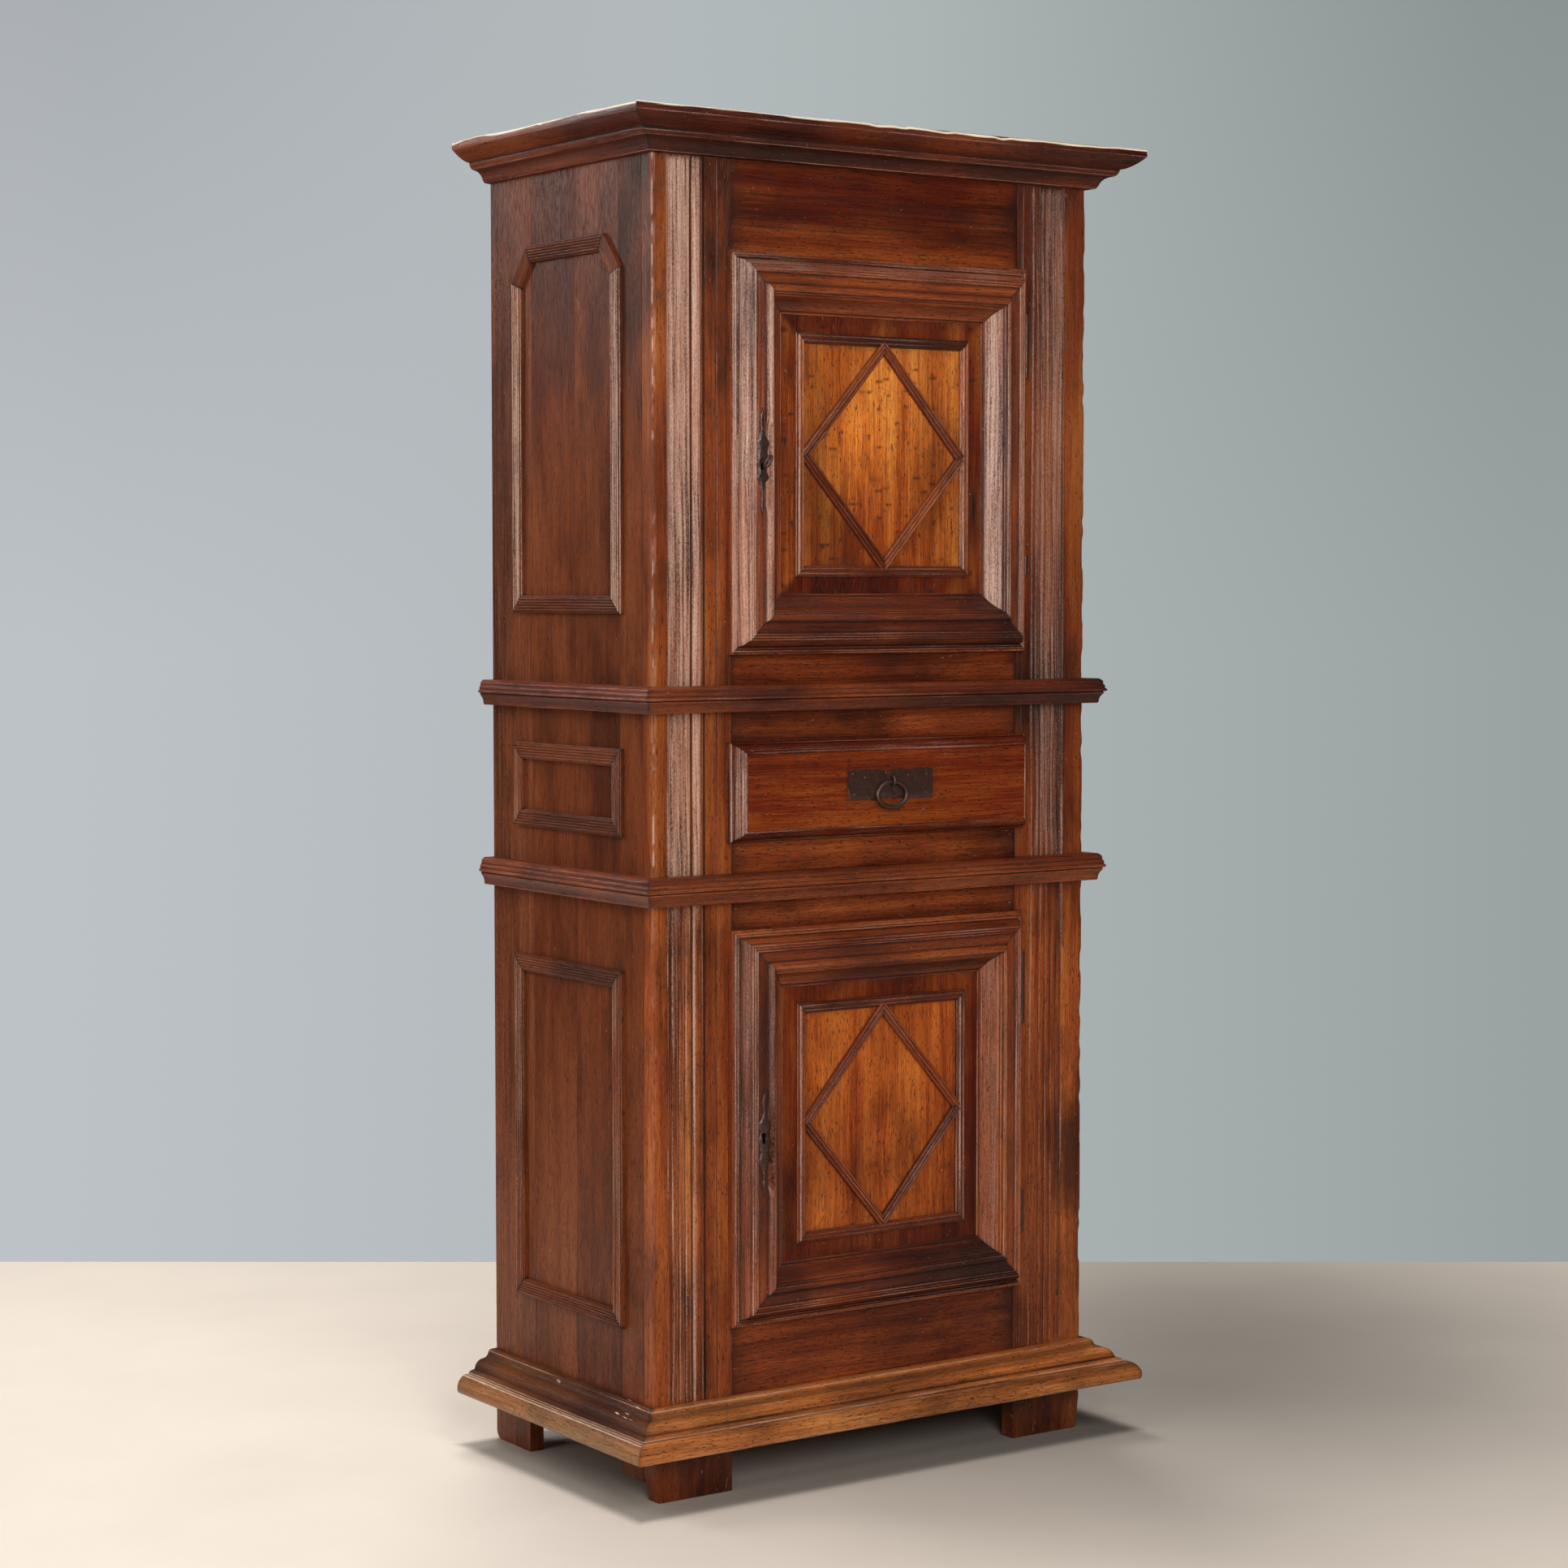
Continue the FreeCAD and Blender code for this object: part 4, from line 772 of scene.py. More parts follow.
def railShell(name):
    # a board a hair behind the stiles; each groove is a small V whose middle wanders, and the ends are grimy
    low, high = cadBox(name)
    half = cadBox("front_stile_right")[0][0]
    grooved = name == "top_rail"

    def shape(points, marks):
        x, y, z = split(points)
        line = points * levelLine
        onFace = rise(low[1] + rails["face"] - y, 0, 2 * mm)
        for height in np.linspace(rails["grooveBottom"], rails["grooveTop"], rails["grooves"] * grooved):
            middle = height + rails["grooveWander"] * noise(line, 120 * mm, height * 40)
            groove = np.clip(1 - np.abs(z - middle) / rails["grooveWidth"], 0, 1) * onFace
            groove = groove * (0.55 + 0.45 * noise(line, 60 * mm, height * 90))
            y = y + groove * rails["grooveDepth"]
            raiseMark(marks, "soil", groove)
        fromEnd = half - np.abs(x)
        reach = rails["grimeReach"] * (0.6 + 0.8 * noise(points * (0, 1, 1), 50 * mm, 3.0)) + 8 * mm
        raiseMark(marks, "soil", 0.8 * fall(fromEnd, 0.5 * mm, 4 * mm))
        raiseMark(marks, "soil", 0.5 * fall(fromEnd, 0, reach))
        return joined(x, y, z)

    step = rails["fineStep"] if grooved else rails["step"]
    shell = boardShell((-half, front + rails["inset"], low[2]), (half, front + rails["thick"], high[2]), "x",
                       rails["round"], step, rails["rowStep"], shape=shape, edgeWear=0.3)
    shade = rails["shade"][name] + 0.25 * noise(shell["points"], 70 * mm, 1.0)
    if grooved:
        shade = shade * (0.45 + 0.55 * rise(shell["points"][..., 2], *rails["shadeHeights"]))
    shell["shade"] = np.clip(shade, 0, 1)
    return shell


for name in rails["shade"]:
    madePiece(name, [railShell(name)], frameWood, "carcass")
print("rails made")


# Sides, back, roof and the boards inside

boards = {
    "sideRound": 0.25 * mm, "sideStep": 6 * mm, "round": 1.0 * mm, "step": 14 * mm, "rowStep": 25 * mm,
    "joint": (0.4 * mm, 2.2 * mm), "opened": (260 * mm, 420 * mm), "tight": 0.12, "worn": 0.3,
    "copyRound": 0.8 * mm, "copyWear": 0.25, "copySoil": 0.05,
    # how many boards lie side by side in each node, along which axis, and which way their grain runs
    "inside": {"back_boards": (4, 0, "z"), "roof_boards": (3, 1, "x"), "lower_floor": (1, 0, "x"),
               "drawer_deck": (1, 0, "x"), "upper_floor": (1, 0, "x"), "lower_shelf": (1, 0, "x"),
               "upper_shelf": (1, 0, "x")},
}


def splitBox(name, count, axis):
    # one box for each of several equal boards that lie side by side in a node
    low, high = cadBox(name)
    edges = np.linspace(low[axis], high[axis], count + 1)
    boxes = [(low.copy(), high.copy()) for k in range(count)]
    for k, (boardLow, boardHigh) in enumerate(boxes):
        boardLow[axis], boardHigh[axis] = edges[k], edges[k + 1]
    return boxes


def jointSoil(low, high, axis, darkTop=False):
    # darkens a board close to the joints beside it, most of all low down where they have opened, and a front
    # board also in patches towards the top
    def shape(points, marks):
        place = points[..., axis]
        near = fall(np.minimum(place - low[axis], high[axis] - place), *boards["joint"])
        smudge = 0.55 + 0.45 * noise(points, 40 * mm, 4.0)
        opened = boards["tight"] + (1 - boards["tight"]) * fall(points[..., 2], *boards["opened"])
        raiseMark(marks, "soil", near * smudge * opened)
        if darkTop:
            raiseMark(marks, "soil", topDarkening(points))
        marks["wear"] = marks["wear"] * boards["worn"]
        return points
    return shape


for word in ("left", "right"):
    for name, count in (("side_front_board_" + word, 1), ("side_planks_" + word, 2)):
        shells = [boardShell(*box, "z", boards["sideRound"], boards["sideStep"],
                             shape=jointSoil(*box, 1, count == 1)) for box in splitBox(name, count, 1)]
        madePiece(name, shells, sideWood, "carcass")

for name, (count, axis, grain) in boards["inside"].items():
    shells = [boardShell(*box, grain, boards["round"], boards["step"], boards["rowStep"],
                         shape=jointSoil(*box, axis)) for box in splitBox(name, count, axis)]
    madePiece(name, shells, insideWood, "carcass")
print("boards made")


def dressedCopy(name, material, body, grain):
    # the node's own solid with its arrises rounded over; grain runs along the named axis
    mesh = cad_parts[name].data.copy()
    mesh.name = camel(name)
    faceOutward(mesh, simplify=True)
    count = len(mesh.vertices)
    place = np.zeros(count * 3)
    mesh.vertices.foreach_get("co", place)
    order = {"x": [0, 1, 2], "y": [1, 0, 2], "z": [2, 0, 1]}[grain]
    setAttribute(mesh, "grain", place.reshape(-1, 3)[:, order] + chance.uniform(0, 9, 3))
    setAttribute(mesh, "wear", np.full(count, boards["copyWear"]))
    setAttribute(mesh, "soil", np.full(count, boards["copySoil"]))
    mesh.polygons.foreach_set("use_smooth", [False] * len(mesh.polygons))
    rounding = asPiece(name, mesh, material, body).modifiers.new("roundedArris", "BEVEL")
    rounding.width = boards["copyRound"]
    rounding.segments = 2
    rounding.limit_method = "ANGLE"
    rounding.angle_limit = math.radians(40)


for word in ("left", "right"):
    dressedCopy("rear_post_" + word, sideWood, "carcass", "z")
    dressedCopy("drawer_side_" + word, insideWood, "drawer", "y")
for name, body, grain in (("shelf_bearers", "carcass", "y"), ("drawer_guides", "carcass", "y"),
                          ("drawer_back", "drawer", "x"), ("drawer_bottom", "drawer", "x")):
    dressedCopy(name, insideWood, body, grain)
for body in ("upper_door", "lower_door"):
    for part, grain in (("_lock_stile", "z"), ("_hinge_stile", "z"), ("_top_rail", "x"), ("_bottom_rail", "x")):
        dressedCopy(body + part, frameWood, body, grain)
print("copies dressed")


# Mouldings that run round the front and both sides

corniceShares = [(0, 0), (0.16, 0.01), (0.21, 0.10), (0.288, 0.241, "m"), (0.45, 0.31), (0.49, 0.33),
                 (0.55, 0.43), (0.55, 0.49), (0.61, 0.49), (0.85, 0.64, "m"), (1, 0.80), (1, 1), (0, 1)]
waistShares = [(0, 0), (0.60, 0), (0.64, 0.05), (0.70, 0.26, "m"), (0.86, 0.40), (0.86, 0.44), (0.80, 0.46),
               (0.98, 0.49), (1, 0.53), (0.96, 0.59), (0.88, 0.62), (0.90, 0.70, "m"), (0.84, 0.77),
               (0.80, 0.78), (0.82, 0.88, "m"), (0.72, 0.95), (0.66, 1), (0, 1)]
baseShares = [(0, 0), (1, 0), (1, 0.06), (0.92, 0.13), (0.78, 0.18), (0.71, 0.44, "m"), (0.46, 0.62),
              (0.35, 0.70, "m"), (0.30, 0.84), (0.28, 0.94), (0.18, 1), (0, 1)]
rimShares = [(0, 0), (0.97, 0), (1, 0.15), (1, 0.36), (0.935, 0.75, "m"), (0.81, 1), (0, 1)]
# Each moulding's outline, wood and slot, how dark its front and side runs are, how far its arrises are
# rubbed, how deep its waves are, its step, and how far its top edge dips
waistRun = (waistShares, mouldWood, "moulding_wood", (0.5, 0.4), 0.8 * mm, 0.4 * mm, 1.3 * mm, 0)
runs = {
    "cornice": (corniceShares, mouldWood, "moulding_wood", (0.7, 0.8), 2.0 * mm, 0.8 * mm, 1.3 * mm, 4.5 * mm),
    "upper_waist_moulding": waistRun, "lower_waist_moulding": waistRun,
    "base_moulding": (baseShares, baseWood, "moulding_wood", (0.05, 0.9), 0.8 * mm, 0.4 * mm, 1.3 * mm, 0),
    "plinth_rim": (rimShares, rimWood, "rim_wood", (0.0, 0.9), 1.2 * mm, 0.7 * mm, 0.7 * mm, 0),
}
runAge = {
    "rowStep": 7 * mm, "edge": 2 * mm, "chipBand": (0.2, 0.8), "chipped": (0.25, 0.75),
    # pale and paleEdge: the pale top arris, partly worn wood and partly a painted highlight
    "corner": (0.5 * mm, 4 * mm), "waistWear": 0.4, "dipBand": (0.72, 0.70), "pale": 2.6 * mm,
    "paleEdge": (5 * mm, 2 * mm),
    # on the base's sides: chips round two places, as shares of the depth, with their widths and strengths
    "chipPlaces": [(0.10, 0.09, 1.0), (0.5, 0.05, 0.8)], "chipStart": (1.0, 1.12),
    "chipHeights": (6 * mm, 10 * mm), "chipPale": 0.9, "baseSoil": 0.28,
    # on the rim's sides: two painted highlights along its upper fillets, as shares of its reach, with their
    # widths
    "rimLines": [(0.75, 0.014), (0.84, 0.012)], "linePale": (0.62, 0.3),
}


def roundCarcass(name):
    # the section's first number runs out of the carcass and its second up; each side run is mitred to the
    # front run and stops square at the back
    shares, _, _, shades, rub, wave, step, topWear = runs[name]
    low, high = cadBox(name)
    tall, reach, depth = high[2] - low[2], high[0] - halfWidth, back - front
    profile = section([(item[1], item[0], *item[2:]) for item in shares], tall, reach, step)
    up, out = profile["points"].T
    shells = []
    for side, along, outward, length in ((-1, (1, 0, 0), (0, -1, 0), 2 * halfWidth),
                                         (1, (0, 1, 0), (1, 0, 0), depth), (-1, (0, 1, 0), (-1, 0, 0), depth)):
        onFront = not shells
        start = np.array((side * halfWidth, front, low[2]))
        shell = roundRun(profile, start, np.array(along, float), np.array(outward, float), length, onFront, rub,
                         wave, topWear)
        points = shell["points"]
        if "waist" in name:
            shell["wear"] = shell["wear"] * runAge["waistWear"]
        if name == "base_moulding" and not onFront:
            behind = (points[..., 1] - front) / depth
            near = sum(most * hump(behind, middle, width) for middle, width, most in runAge["chipPlaces"])
            chips = rise(noise(points, 4.5 * mm, 3.0) + 0.5 * near, *runAge["chipStart"]) * near
            shell["bare"] = chips * rise(points[..., 2] - low[2], *runAge["chipHeights"]) * runAge["chipPale"]
            raiseMark(shell, "soil", runAge["baseSoil"])
        # painted highlights along the rim's upper fillets, in the pale bare colour
        if name == "plinth_rim" and not onFront:
            lines = sum(hump(out / reach, middle, width) for middle, width in runAge["rimLines"])
            middle, more = runAge["linePale"]
            onTop = np.clip(lines * (up > 0.5 * tall), 0, 1)
            shell["bare"] = onTop * (middle + more * noise(points, 8 * mm, 2.0))
        shell["shade"] = np.clip(shades[0 if onFront else 1] + 0.25 * noise(points, 90 * mm), 0, 1)
        shells.append(shell)
    return shells


def roundRun(profile, start, along, outward, length, bothMitred, rub, wave, topWear):
    # like mouldingRun, but a mitre moves out with the distance from the carcass, and a worn top edge
    # dips by about topWear and is pale along its outermost arris, partly worn wood and partly a painted
    # highlight
    age = runAge
    upward = np.array([0, 0, 1.0])
    up, out = profile["points"].T
    high = length + out if bothMitred else np.full_like(out, length)
    share = np.linspace(0, 1, max(3, int(length / age["rowStep"])))[:, None]
    t = -out + (high + out) * share
    points = start + t[..., None] * along + (out[:, None] * outward + up[:, None] * upward)
    normal = profile["normal"][:, 1:] * outward + profile["normal"][:, :1] * upward
    wear = profile["wear"]
    chips = rise(noise(points, 22 * mm, 3.0), *age["chipBand"]) * between(points, 7 * mm)
    least, more = age["chipped"]
    sink = wave * between(points, 110 * mm, 6.0) + rub * wear * (least + more * chips)
    points = points - (sink * rise(out, 0.0, age["edge"]))[..., None] * normal
    bare = 0.0
    if topWear:
        line = points * np.abs(along)
        dip = 0.5 + 0.35 * noise(line, 190 * mm, 2.0) + 0.25 * noise(line, 60 * mm, 9.0)
        dip += 0.5 * rise(noise(line, 26 * mm, 4.0), 0.55, 0.95)
        dip = np.clip(dip, 0, 1.4) * topWear * rise(out, out.max() * age["dipBand"][0], out.max())
        points[..., 2] -= dip * rise(up, up.max() * age["dipBand"][1], up.max())
        # a pale band along the top arris: worn wood and a painted highlight
        pale = age["pale"] + 1.2 * mm * noise(line, 45 * mm, 1.0)
        bare = rise(points[..., 2] + pale - (start[2] + up.max() - dip), -0.6 * mm, 0.4 * mm)
        bare = bare * rise(out, *[out.max() - distance for distance in age["paleEdge"]])
    grain = grainOf(t, up, out)
    patch = between(points, 60 * mm, 8.0)
    corner = fall(np.minimum(share, 1 - share if bothMitred else 1.0) * length, *age["corner"])
    return {"points": points, "grain": grain, "wear": wear * (0.5 + 0.5 * patch), "bare": bare,
            "soil": np.clip(profile["soil"] * (0.7 + 0.4 * patch) + 0.5 * corner, 0, 1)}


for name, (_, wood, slot, *_) in runs.items():
    madePiece(name, roundCarcass(name), wood, "carcass")
print("run mouldings made")


# Reeded frames on the sides

sideFrames = {
    "width": 26 * mm, "height": 8.5 * mm, "reeds": 5, "fillet": 2.5 * mm, "front": 78 * mm, "depth": 310 * mm,
    "lower": (243 * mm, 769 * mm), "middle": (964 * mm, 1092 * mm), "upper": (1287 * mm, 1836 * mm),
    "cantDepth": 45 * mm, "cantHeight": 53 * mm, "step": 0.9 * mm, "softness": 0.25 * mm, "wave": 0.2 * mm,
    # how much the upper and lower uprights and the level parts are rubbed, and how dirty all are
    "rub": (1.5, 0.6, 0.3), "soil": 1.6,
}


def reedShares():
    # a flat fillet at each edge and round reeds between them, whose valleys lie half a reed's width below
    # their crests
    edge = sideFrames["fillet"] / sideFrames["width"]
    reed = (1 - 2 * edge) / sideFrames["reeds"]
    valley = 1 - reed * sideFrames["width"] / (2 * sideFrames["height"])
    shares = [(0, 0), (0, valley), (edge, valley)]
    for index in range(sideFrames["reeds"]):
        shares += [(edge + (index + 0.5) * reed, 1, "m"), (edge + (index + 1) * reed, valley)]
    return shares + [(1, valley), (1, 0)]


def sideFrameShells(side):
    # two oblong frames and a tall one whose upper corners are cut off aslant
    near, far = sideFrames["front"], sideFrames["front"] + sideFrames["depth"]
    profile = section(reedShares(), sideFrames["width"], sideFrames["height"], sideFrames["step"],
                      sideFrames["softness"])
    frames = [[(near, low), (far, low), (far, high), (near, high)]
              for low, high in (sideFrames["lower"], sideFrames["middle"])]
    low, high = sideFrames["upper"]
    inward, shoulder = sideFrames["cantDepth"], high - sideFrames["cantHeight"]
    frames.append([(near, low), (far, low), (far, shoulder), (far - inward, high), (near + inward, high),
                   (near, shoulder)])
    shells = []
    for corners in frames:
        if side < 0:
            corners = [(-u, v) for u, v in corners][::-1]
        shells += frameRuns(corners, profile, ((0, side, 0), (0, 0, 1), (side, 0, 0)),
                            (side * halfWidth, front, 0), wave=sideFrames["wave"])
    for shell in shells:
        _, deep, tall = np.ptp(shell["points"].reshape(-1, 3), axis=0)
        aloft = shell["points"][..., 2].mean() > low
        kind = (0 if aloft else 1) if tall > 2 * deep else 2
        shell["wear"] = np.clip(shell["wear"] * sideFrames["rub"][kind], 0, 1)
        shell["soil"] = np.clip(shell["soil"] * sideFrames["soil"], 0, 1)
    return shells


for word, side in (("left", -1), ("right", 1)):
    madePiece("side_moulding_" + word, sideFrameShells(side), sideWood, "carcass")
print("side mouldings made")


# Doors: bold moulding, panel, trim and lozenge

doorMoulding = {
    "lip": 11 * mm, "start": 3 * mm, "width": 85 * mm, "height": 30.5 * mm, "step": 1.0 * mm,
    # how pale each door's moulding is, partly wear and partly painted sheen
    "keyholeIn": 28.03 * mm, "fineReach": 20 * mm, "rub": {"upper": 0.85, "lower": 0.33},
    # where the bead is cut back behind the plate, as shares of the width, and how its two ends run out
    "cutShares": (0.5, 0.60), "cutLow": (0, 22 * mm), "cutHigh": (-40 * mm, -8 * mm), "cutGap": 0.2 * mm,
    # where each part of the outline rises and falls, as shares of the width, and last how much painted
    # shade darkens each run: below, right, above, left
    "outer": (0.32, 0.36), "land": (0.33, 0.36, 0.50, 0.52), "bead": (0.51, 0.53, 0.64, 0.66),
    "slope": (0.68, 0.74, 0.90, 0.96), "dark": (0.75, 0, 0.15, 0),
}
mouldingShares = [(0, 0), (0, 0.05), (0.024, 0.12, "m"), (0.047, 0.05), (0.071, 0.12, "m"), (0.094, 0.06),
                  (0.106, 0.13), (0.126, 0.40, "m"), (0.176, 0.61), (0.189, 0.61), (0.200, 0.74),
                  (0.222, 0.80, "m"), (0.243, 0.75), (0.265, 0.82, "m"), (0.287, 0.76), (0.309, 0.82, "m"),
                  (0.330, 0.738), (0.518, 0.738), (0.524, 0.82), (0.565, 0.97, "m"), (0.610, 1),
                  (0.647, 0.97), (0.647, 0.86), (0.683, 0.84), (0.683, 0.76), (0.719, 0.73),
                  (0.801, 0.37, "m"), (0.937, 0.16), (0.955, 0.05), (1, 0.05), (1, 0)]
panelTrim = {"inset": 113 * mm, "width": 16 * mm, "height": 7.4 * mm, "overlap": 11 * mm, "step": 0.7 * mm,
             "softness": 0.25 * mm, "wave": 0.3 * mm, "lozengeWidth": 15 * mm, "lozengeHeight": 7.9 * mm,
             "lozengeWear": 0.4, "lozengeShade": 0.35, "levelWear": 0.5, "levelShade": 0.5}
trimShares = [(0, 0), (0, 0.55), (0.16, 0.6), (0.16, 0.85), (0.34, 1, "m"), (0.52, 0.85), (0.68, 0.95, "m"),
              (0.84, 0.6), (1, 0.4), (1, 0)]
lozengeShares = [(0, 0), (0, 0.6), (0.17, 0.9, "m"), (0.33, 0.6), (0.5, 1, "m"), (0.67, 0.6),
                 (0.83, 0.9, "m"), (1, 0.6), (1, 0)]
keyhole = {"radius": 3.6 * mm, "slot": 3.6 * mm, "drop": 12 * mm, "depth": 17 * mm,
           "height": {"upper": 1506 * mm, "lower": 528 * mm}}
panel = {
    "inset": 87 * mm, "round": 0.4 * mm, "step": 2.6 * mm, "rowStep": 4 * mm, "wave": 0.5 * mm,
    # cracks in millimetres: place across, height above the bottom or, below zero, from the top, and reach
    "cracks": [(-118, -60, 34), (84, -80, 40), (-78, 250, 45), (146, 90, 60)],
    "crackWidth": 1.9 * mm, "crackDepth": 0.9 * mm, "crackWander": 0.8 * mm, "crackSoil": 0.9, "dent": 0.7 * mm,
    "dentBand": (0.62, 0.95), "dirt": (2 * mm, 18 * mm), "trimGrime": (6 * mm, 16 * mm), "grime": 0.32,
    # short dark dashes, and a burn near the right edge with its place and size, on the upper panel only
    "dashBand": (0.62, 0.72), "dashes": 0.8, "burn": 1.1, "burnPlace": (171 * mm, 1445 * mm),
    "burnSize": (10 * mm, 38 * mm),
    # how much lighter each panel is inside the trim, inside the lozenge, and left and right of the trim
    "lift": {"upper": (0.66, 0.34, 0.62, 0.12), "lower": (0.64, 0.10, 0.12, 0.0)},
}


def insideKeyhole(points, place, margin):
    # true inside a round hole with a slot under it
    x, _, z = split(points)
    middle, height = place["keyholeX"], place["keyholeZ"]
    inRound = np.hypot(x - middle, z - height) < keyhole["radius"] + margin
    inSlot = (np.abs(x - middle) < keyhole["slot"] / 2 + margin) & (z < height)
    return inRound | (inSlot & (z > height - keyhole["drop"] - margin))


def doorShape(door):
    # the door reaches beyond its moulding's node by the lip; its face lies at the back of that node
    low, high = cadBox(door + "_door_moulding")
    lip = doorMoulding["lip"]
    return {"half": high[0] + lip, "low": low[2] - lip, "high": high[2] + lip, "surface": high[1],
            "keyholeX": low[0] + doorMoulding["keyholeIn"], "keyholeZ": keyhole["height"][door]}


def doorFrameRuns(door, inset, profile, **options):
    # a mitred frame that lies the inset inside the door's edges: below, right, above, left
    place = doorShape(door)
    half, low, high = place["half"] - inset, place["low"] + inset, place["high"] - inset
    return frameRuns([(-half, low), (half, low), (half, high), (-half, high)], profile, frontSide,
                     (0, place["surface"], 0), **options)


def drillKeyhole(points, place):
    # pushes the points of a front surface that lie in the keyhole back by its depth
    hole = insideKeyhole(points, place, 0)
    points[..., 1] += np.where(hole & (points[..., 1] < place["surface"]), keyhole["depth"], 0)


def doorMouldingShells(door):
    # what faces left on the uprights is pale in streaks, partly rubbed and partly painted sheen, and painted
    # shade darkens the level runs, the lower one most
    look = doorMoulding
    place = doorShape(door)
    profile = section(mouldingShares, look["width"], look["height"], look["step"])
    down = place["high"] - look["start"] - place["keyholeZ"]       # the left side runs downward
    shells = doorFrameRuns(door, look["start"], profile, fineSides={3: (down, look["fineReach"])})
    upright = shells[3]["points"]
    drillKeyhole(upright, place)
    plateLow, plateHigh = cadBox(door + "_escutcheon")
    share = profile["points"][:, 0] / look["width"]
    height = upright[..., 2]
    cut = rise(height, *[plateLow[2] + move for move in look["cutLow"]])
    cut = cut * fall(height, *[plateHigh[2] + move for move in look["cutHigh"]])
    cut = cut * ((share > look["cutShares"][0]) & (share < look["cutShares"][1]))
    upright[..., 1] += cut * np.maximum(plateHigh[1] + look["cutGap"] - upright[..., 1], 0)
    outer = fall(share, *look["outer"])
    land, bead, slope = [rise(share, *look[part][:2]) * fall(share, *look[part][2:])
                         for part in ("land", "bead", "slope")]
    # how pale the runs below, right, above and left are: wear, and painted sheen on what faces left
    strengths = (0.3 * bead, 0.5 * outer + 0.7 * bead + 1.2 * slope, 0.5 * outer, outer + bead + 0.45 * land)
    for shell, rubbed, dark in zip(shells, strengths, look["dark"]):
        patch = noise(shell["points"], 60 * mm, 3.0)
        rubbed = rubbed * (0.85 + 0.25 * patch) * look["rub"][door]
        shell["wear"] = np.maximum(shell["wear"] * (0.5 if dark else 0.8), rubbed)
        shell["shade"] = np.clip(dark * (1 + 0.6 * patch), 0, 0.9)
        shell["soil"] = shell["soil"] * (1 if dark else 0.85)
    return shells


def panelShell(door):
    # a board with fine cracks, dents and dirt in its corners; its light middle falls off outside the trim and
    # is lightest inside the lozenge, whose edge is where the shares of the two half diagonals add up to one
    place = doorShape(door)
    surface = place["surface"]
    inset = panel["inset"]
    half, bottom, top = place["half"] - inset, place["low"] + inset, place["high"] - inset

    def shape(points, marks):
        x, y, z = split(points)
        line = points * plumbLine
        onFace = rise(surface + 2.5 * mm - y, 0, 1.5 * mm)
        for aside, above, reach in panel["cracks"]:
            middle = aside * mm + panel["crackWander"] * noise(line, 25 * mm, aside * mm * 99)
            height = (bottom if above > 0 else top) + above * mm
            crack = np.clip(1 - np.abs(x - middle) / panel["crackWidth"], 0, 1)
            crack = crack * fall(np.abs(z - height), reach * mm * 0.5, reach * mm)
            y = y + crack * onFace * panel["crackDepth"]
            raiseMark(marks, "soil", crack * panel["crackSoil"])
        dents = rise(noise(points, 16 * mm, 2.2), *panel["dentBand"]) * onFace
        fromEdge = np.minimum(half - np.abs(x), np.minimum(z - bottom, top - z))
        fromTrim = fromEdge - (panelTrim["inset"] - panel["inset"])
        raiseMark(marks, "soil", fall(fromEdge, *panel["dirt"]) * (0.22 + 0.3 * noise(points, 60 * mm)))
        grime = fall(np.abs(fromTrim - 12 * mm), *panel["trimGrime"]) * panel["grime"]
        raiseMark(marks, "soil", grime * between(points, 35 * mm, 1.0))
        raiseMark(marks, "soil", dents * 0.5)
        if door == "upper":
            dashes = rise(noise(points * (0.7, 1, 2.4), 12 * mm, 4.4), *panel["dashBand"]) * onFace
            burn = [hump(v, *at) for v, at in zip((x, z), zip(panel["burnPlace"], panel["burnSize"]))]
            raiseMark(marks, "soil", np.maximum(dashes * panel["dashes"], burn[0] * burn[1] * panel["burn"]))
        marks["soil"] = np.clip(marks["soil"], 0, 1)
        return joined(x, y + dents * panel["dent"], z)

    behind = cadBox(door + "_door_panel")[1][1]
    shell = boardShell((-half, surface, bottom), (half, behind, top), "z", panel["round"], panel["step"],
                       panel["rowStep"], shape=shape, edgeWear=0.0, wave=panel["wave"])
    x, y, z = split(shell["points"])
    border = panelTrim["inset"] - panel["inset"] + panelTrim["width"] / 2
    fromSide, fromLevel = half - np.abs(x), np.minimum(z - bottom, top - z)
    fromTrim = np.minimum(fromSide, fromLevel) - border
    tall = (top - bottom) / 2
    fromLozenge = 1 - np.abs(x) / (half - border) - np.abs(z - (bottom + top) / 2) / (tall - border)
    inTrim, inLozenge, onLeft, onRight = panel["lift"][door]
    light = rise(fromTrim, -6 * mm, 2 * mm)
    beside = rise(fromLevel - fromSide, -8 * mm, 8 * mm) * (1 - light)
    lift = inTrim * light + inLozenge * rise(fromLozenge, -0.04, 0.04)
    lift = lift + np.where(x < 0, onLeft, onRight) * beside
    lift = lift * fall(y, surface + 2 * mm, surface + 4 * mm)
    shell["shade"] = np.clip(1 - lift + 0.2 * noise(shell["points"], 50 * mm, 6.0), 0, 1)
    return shell


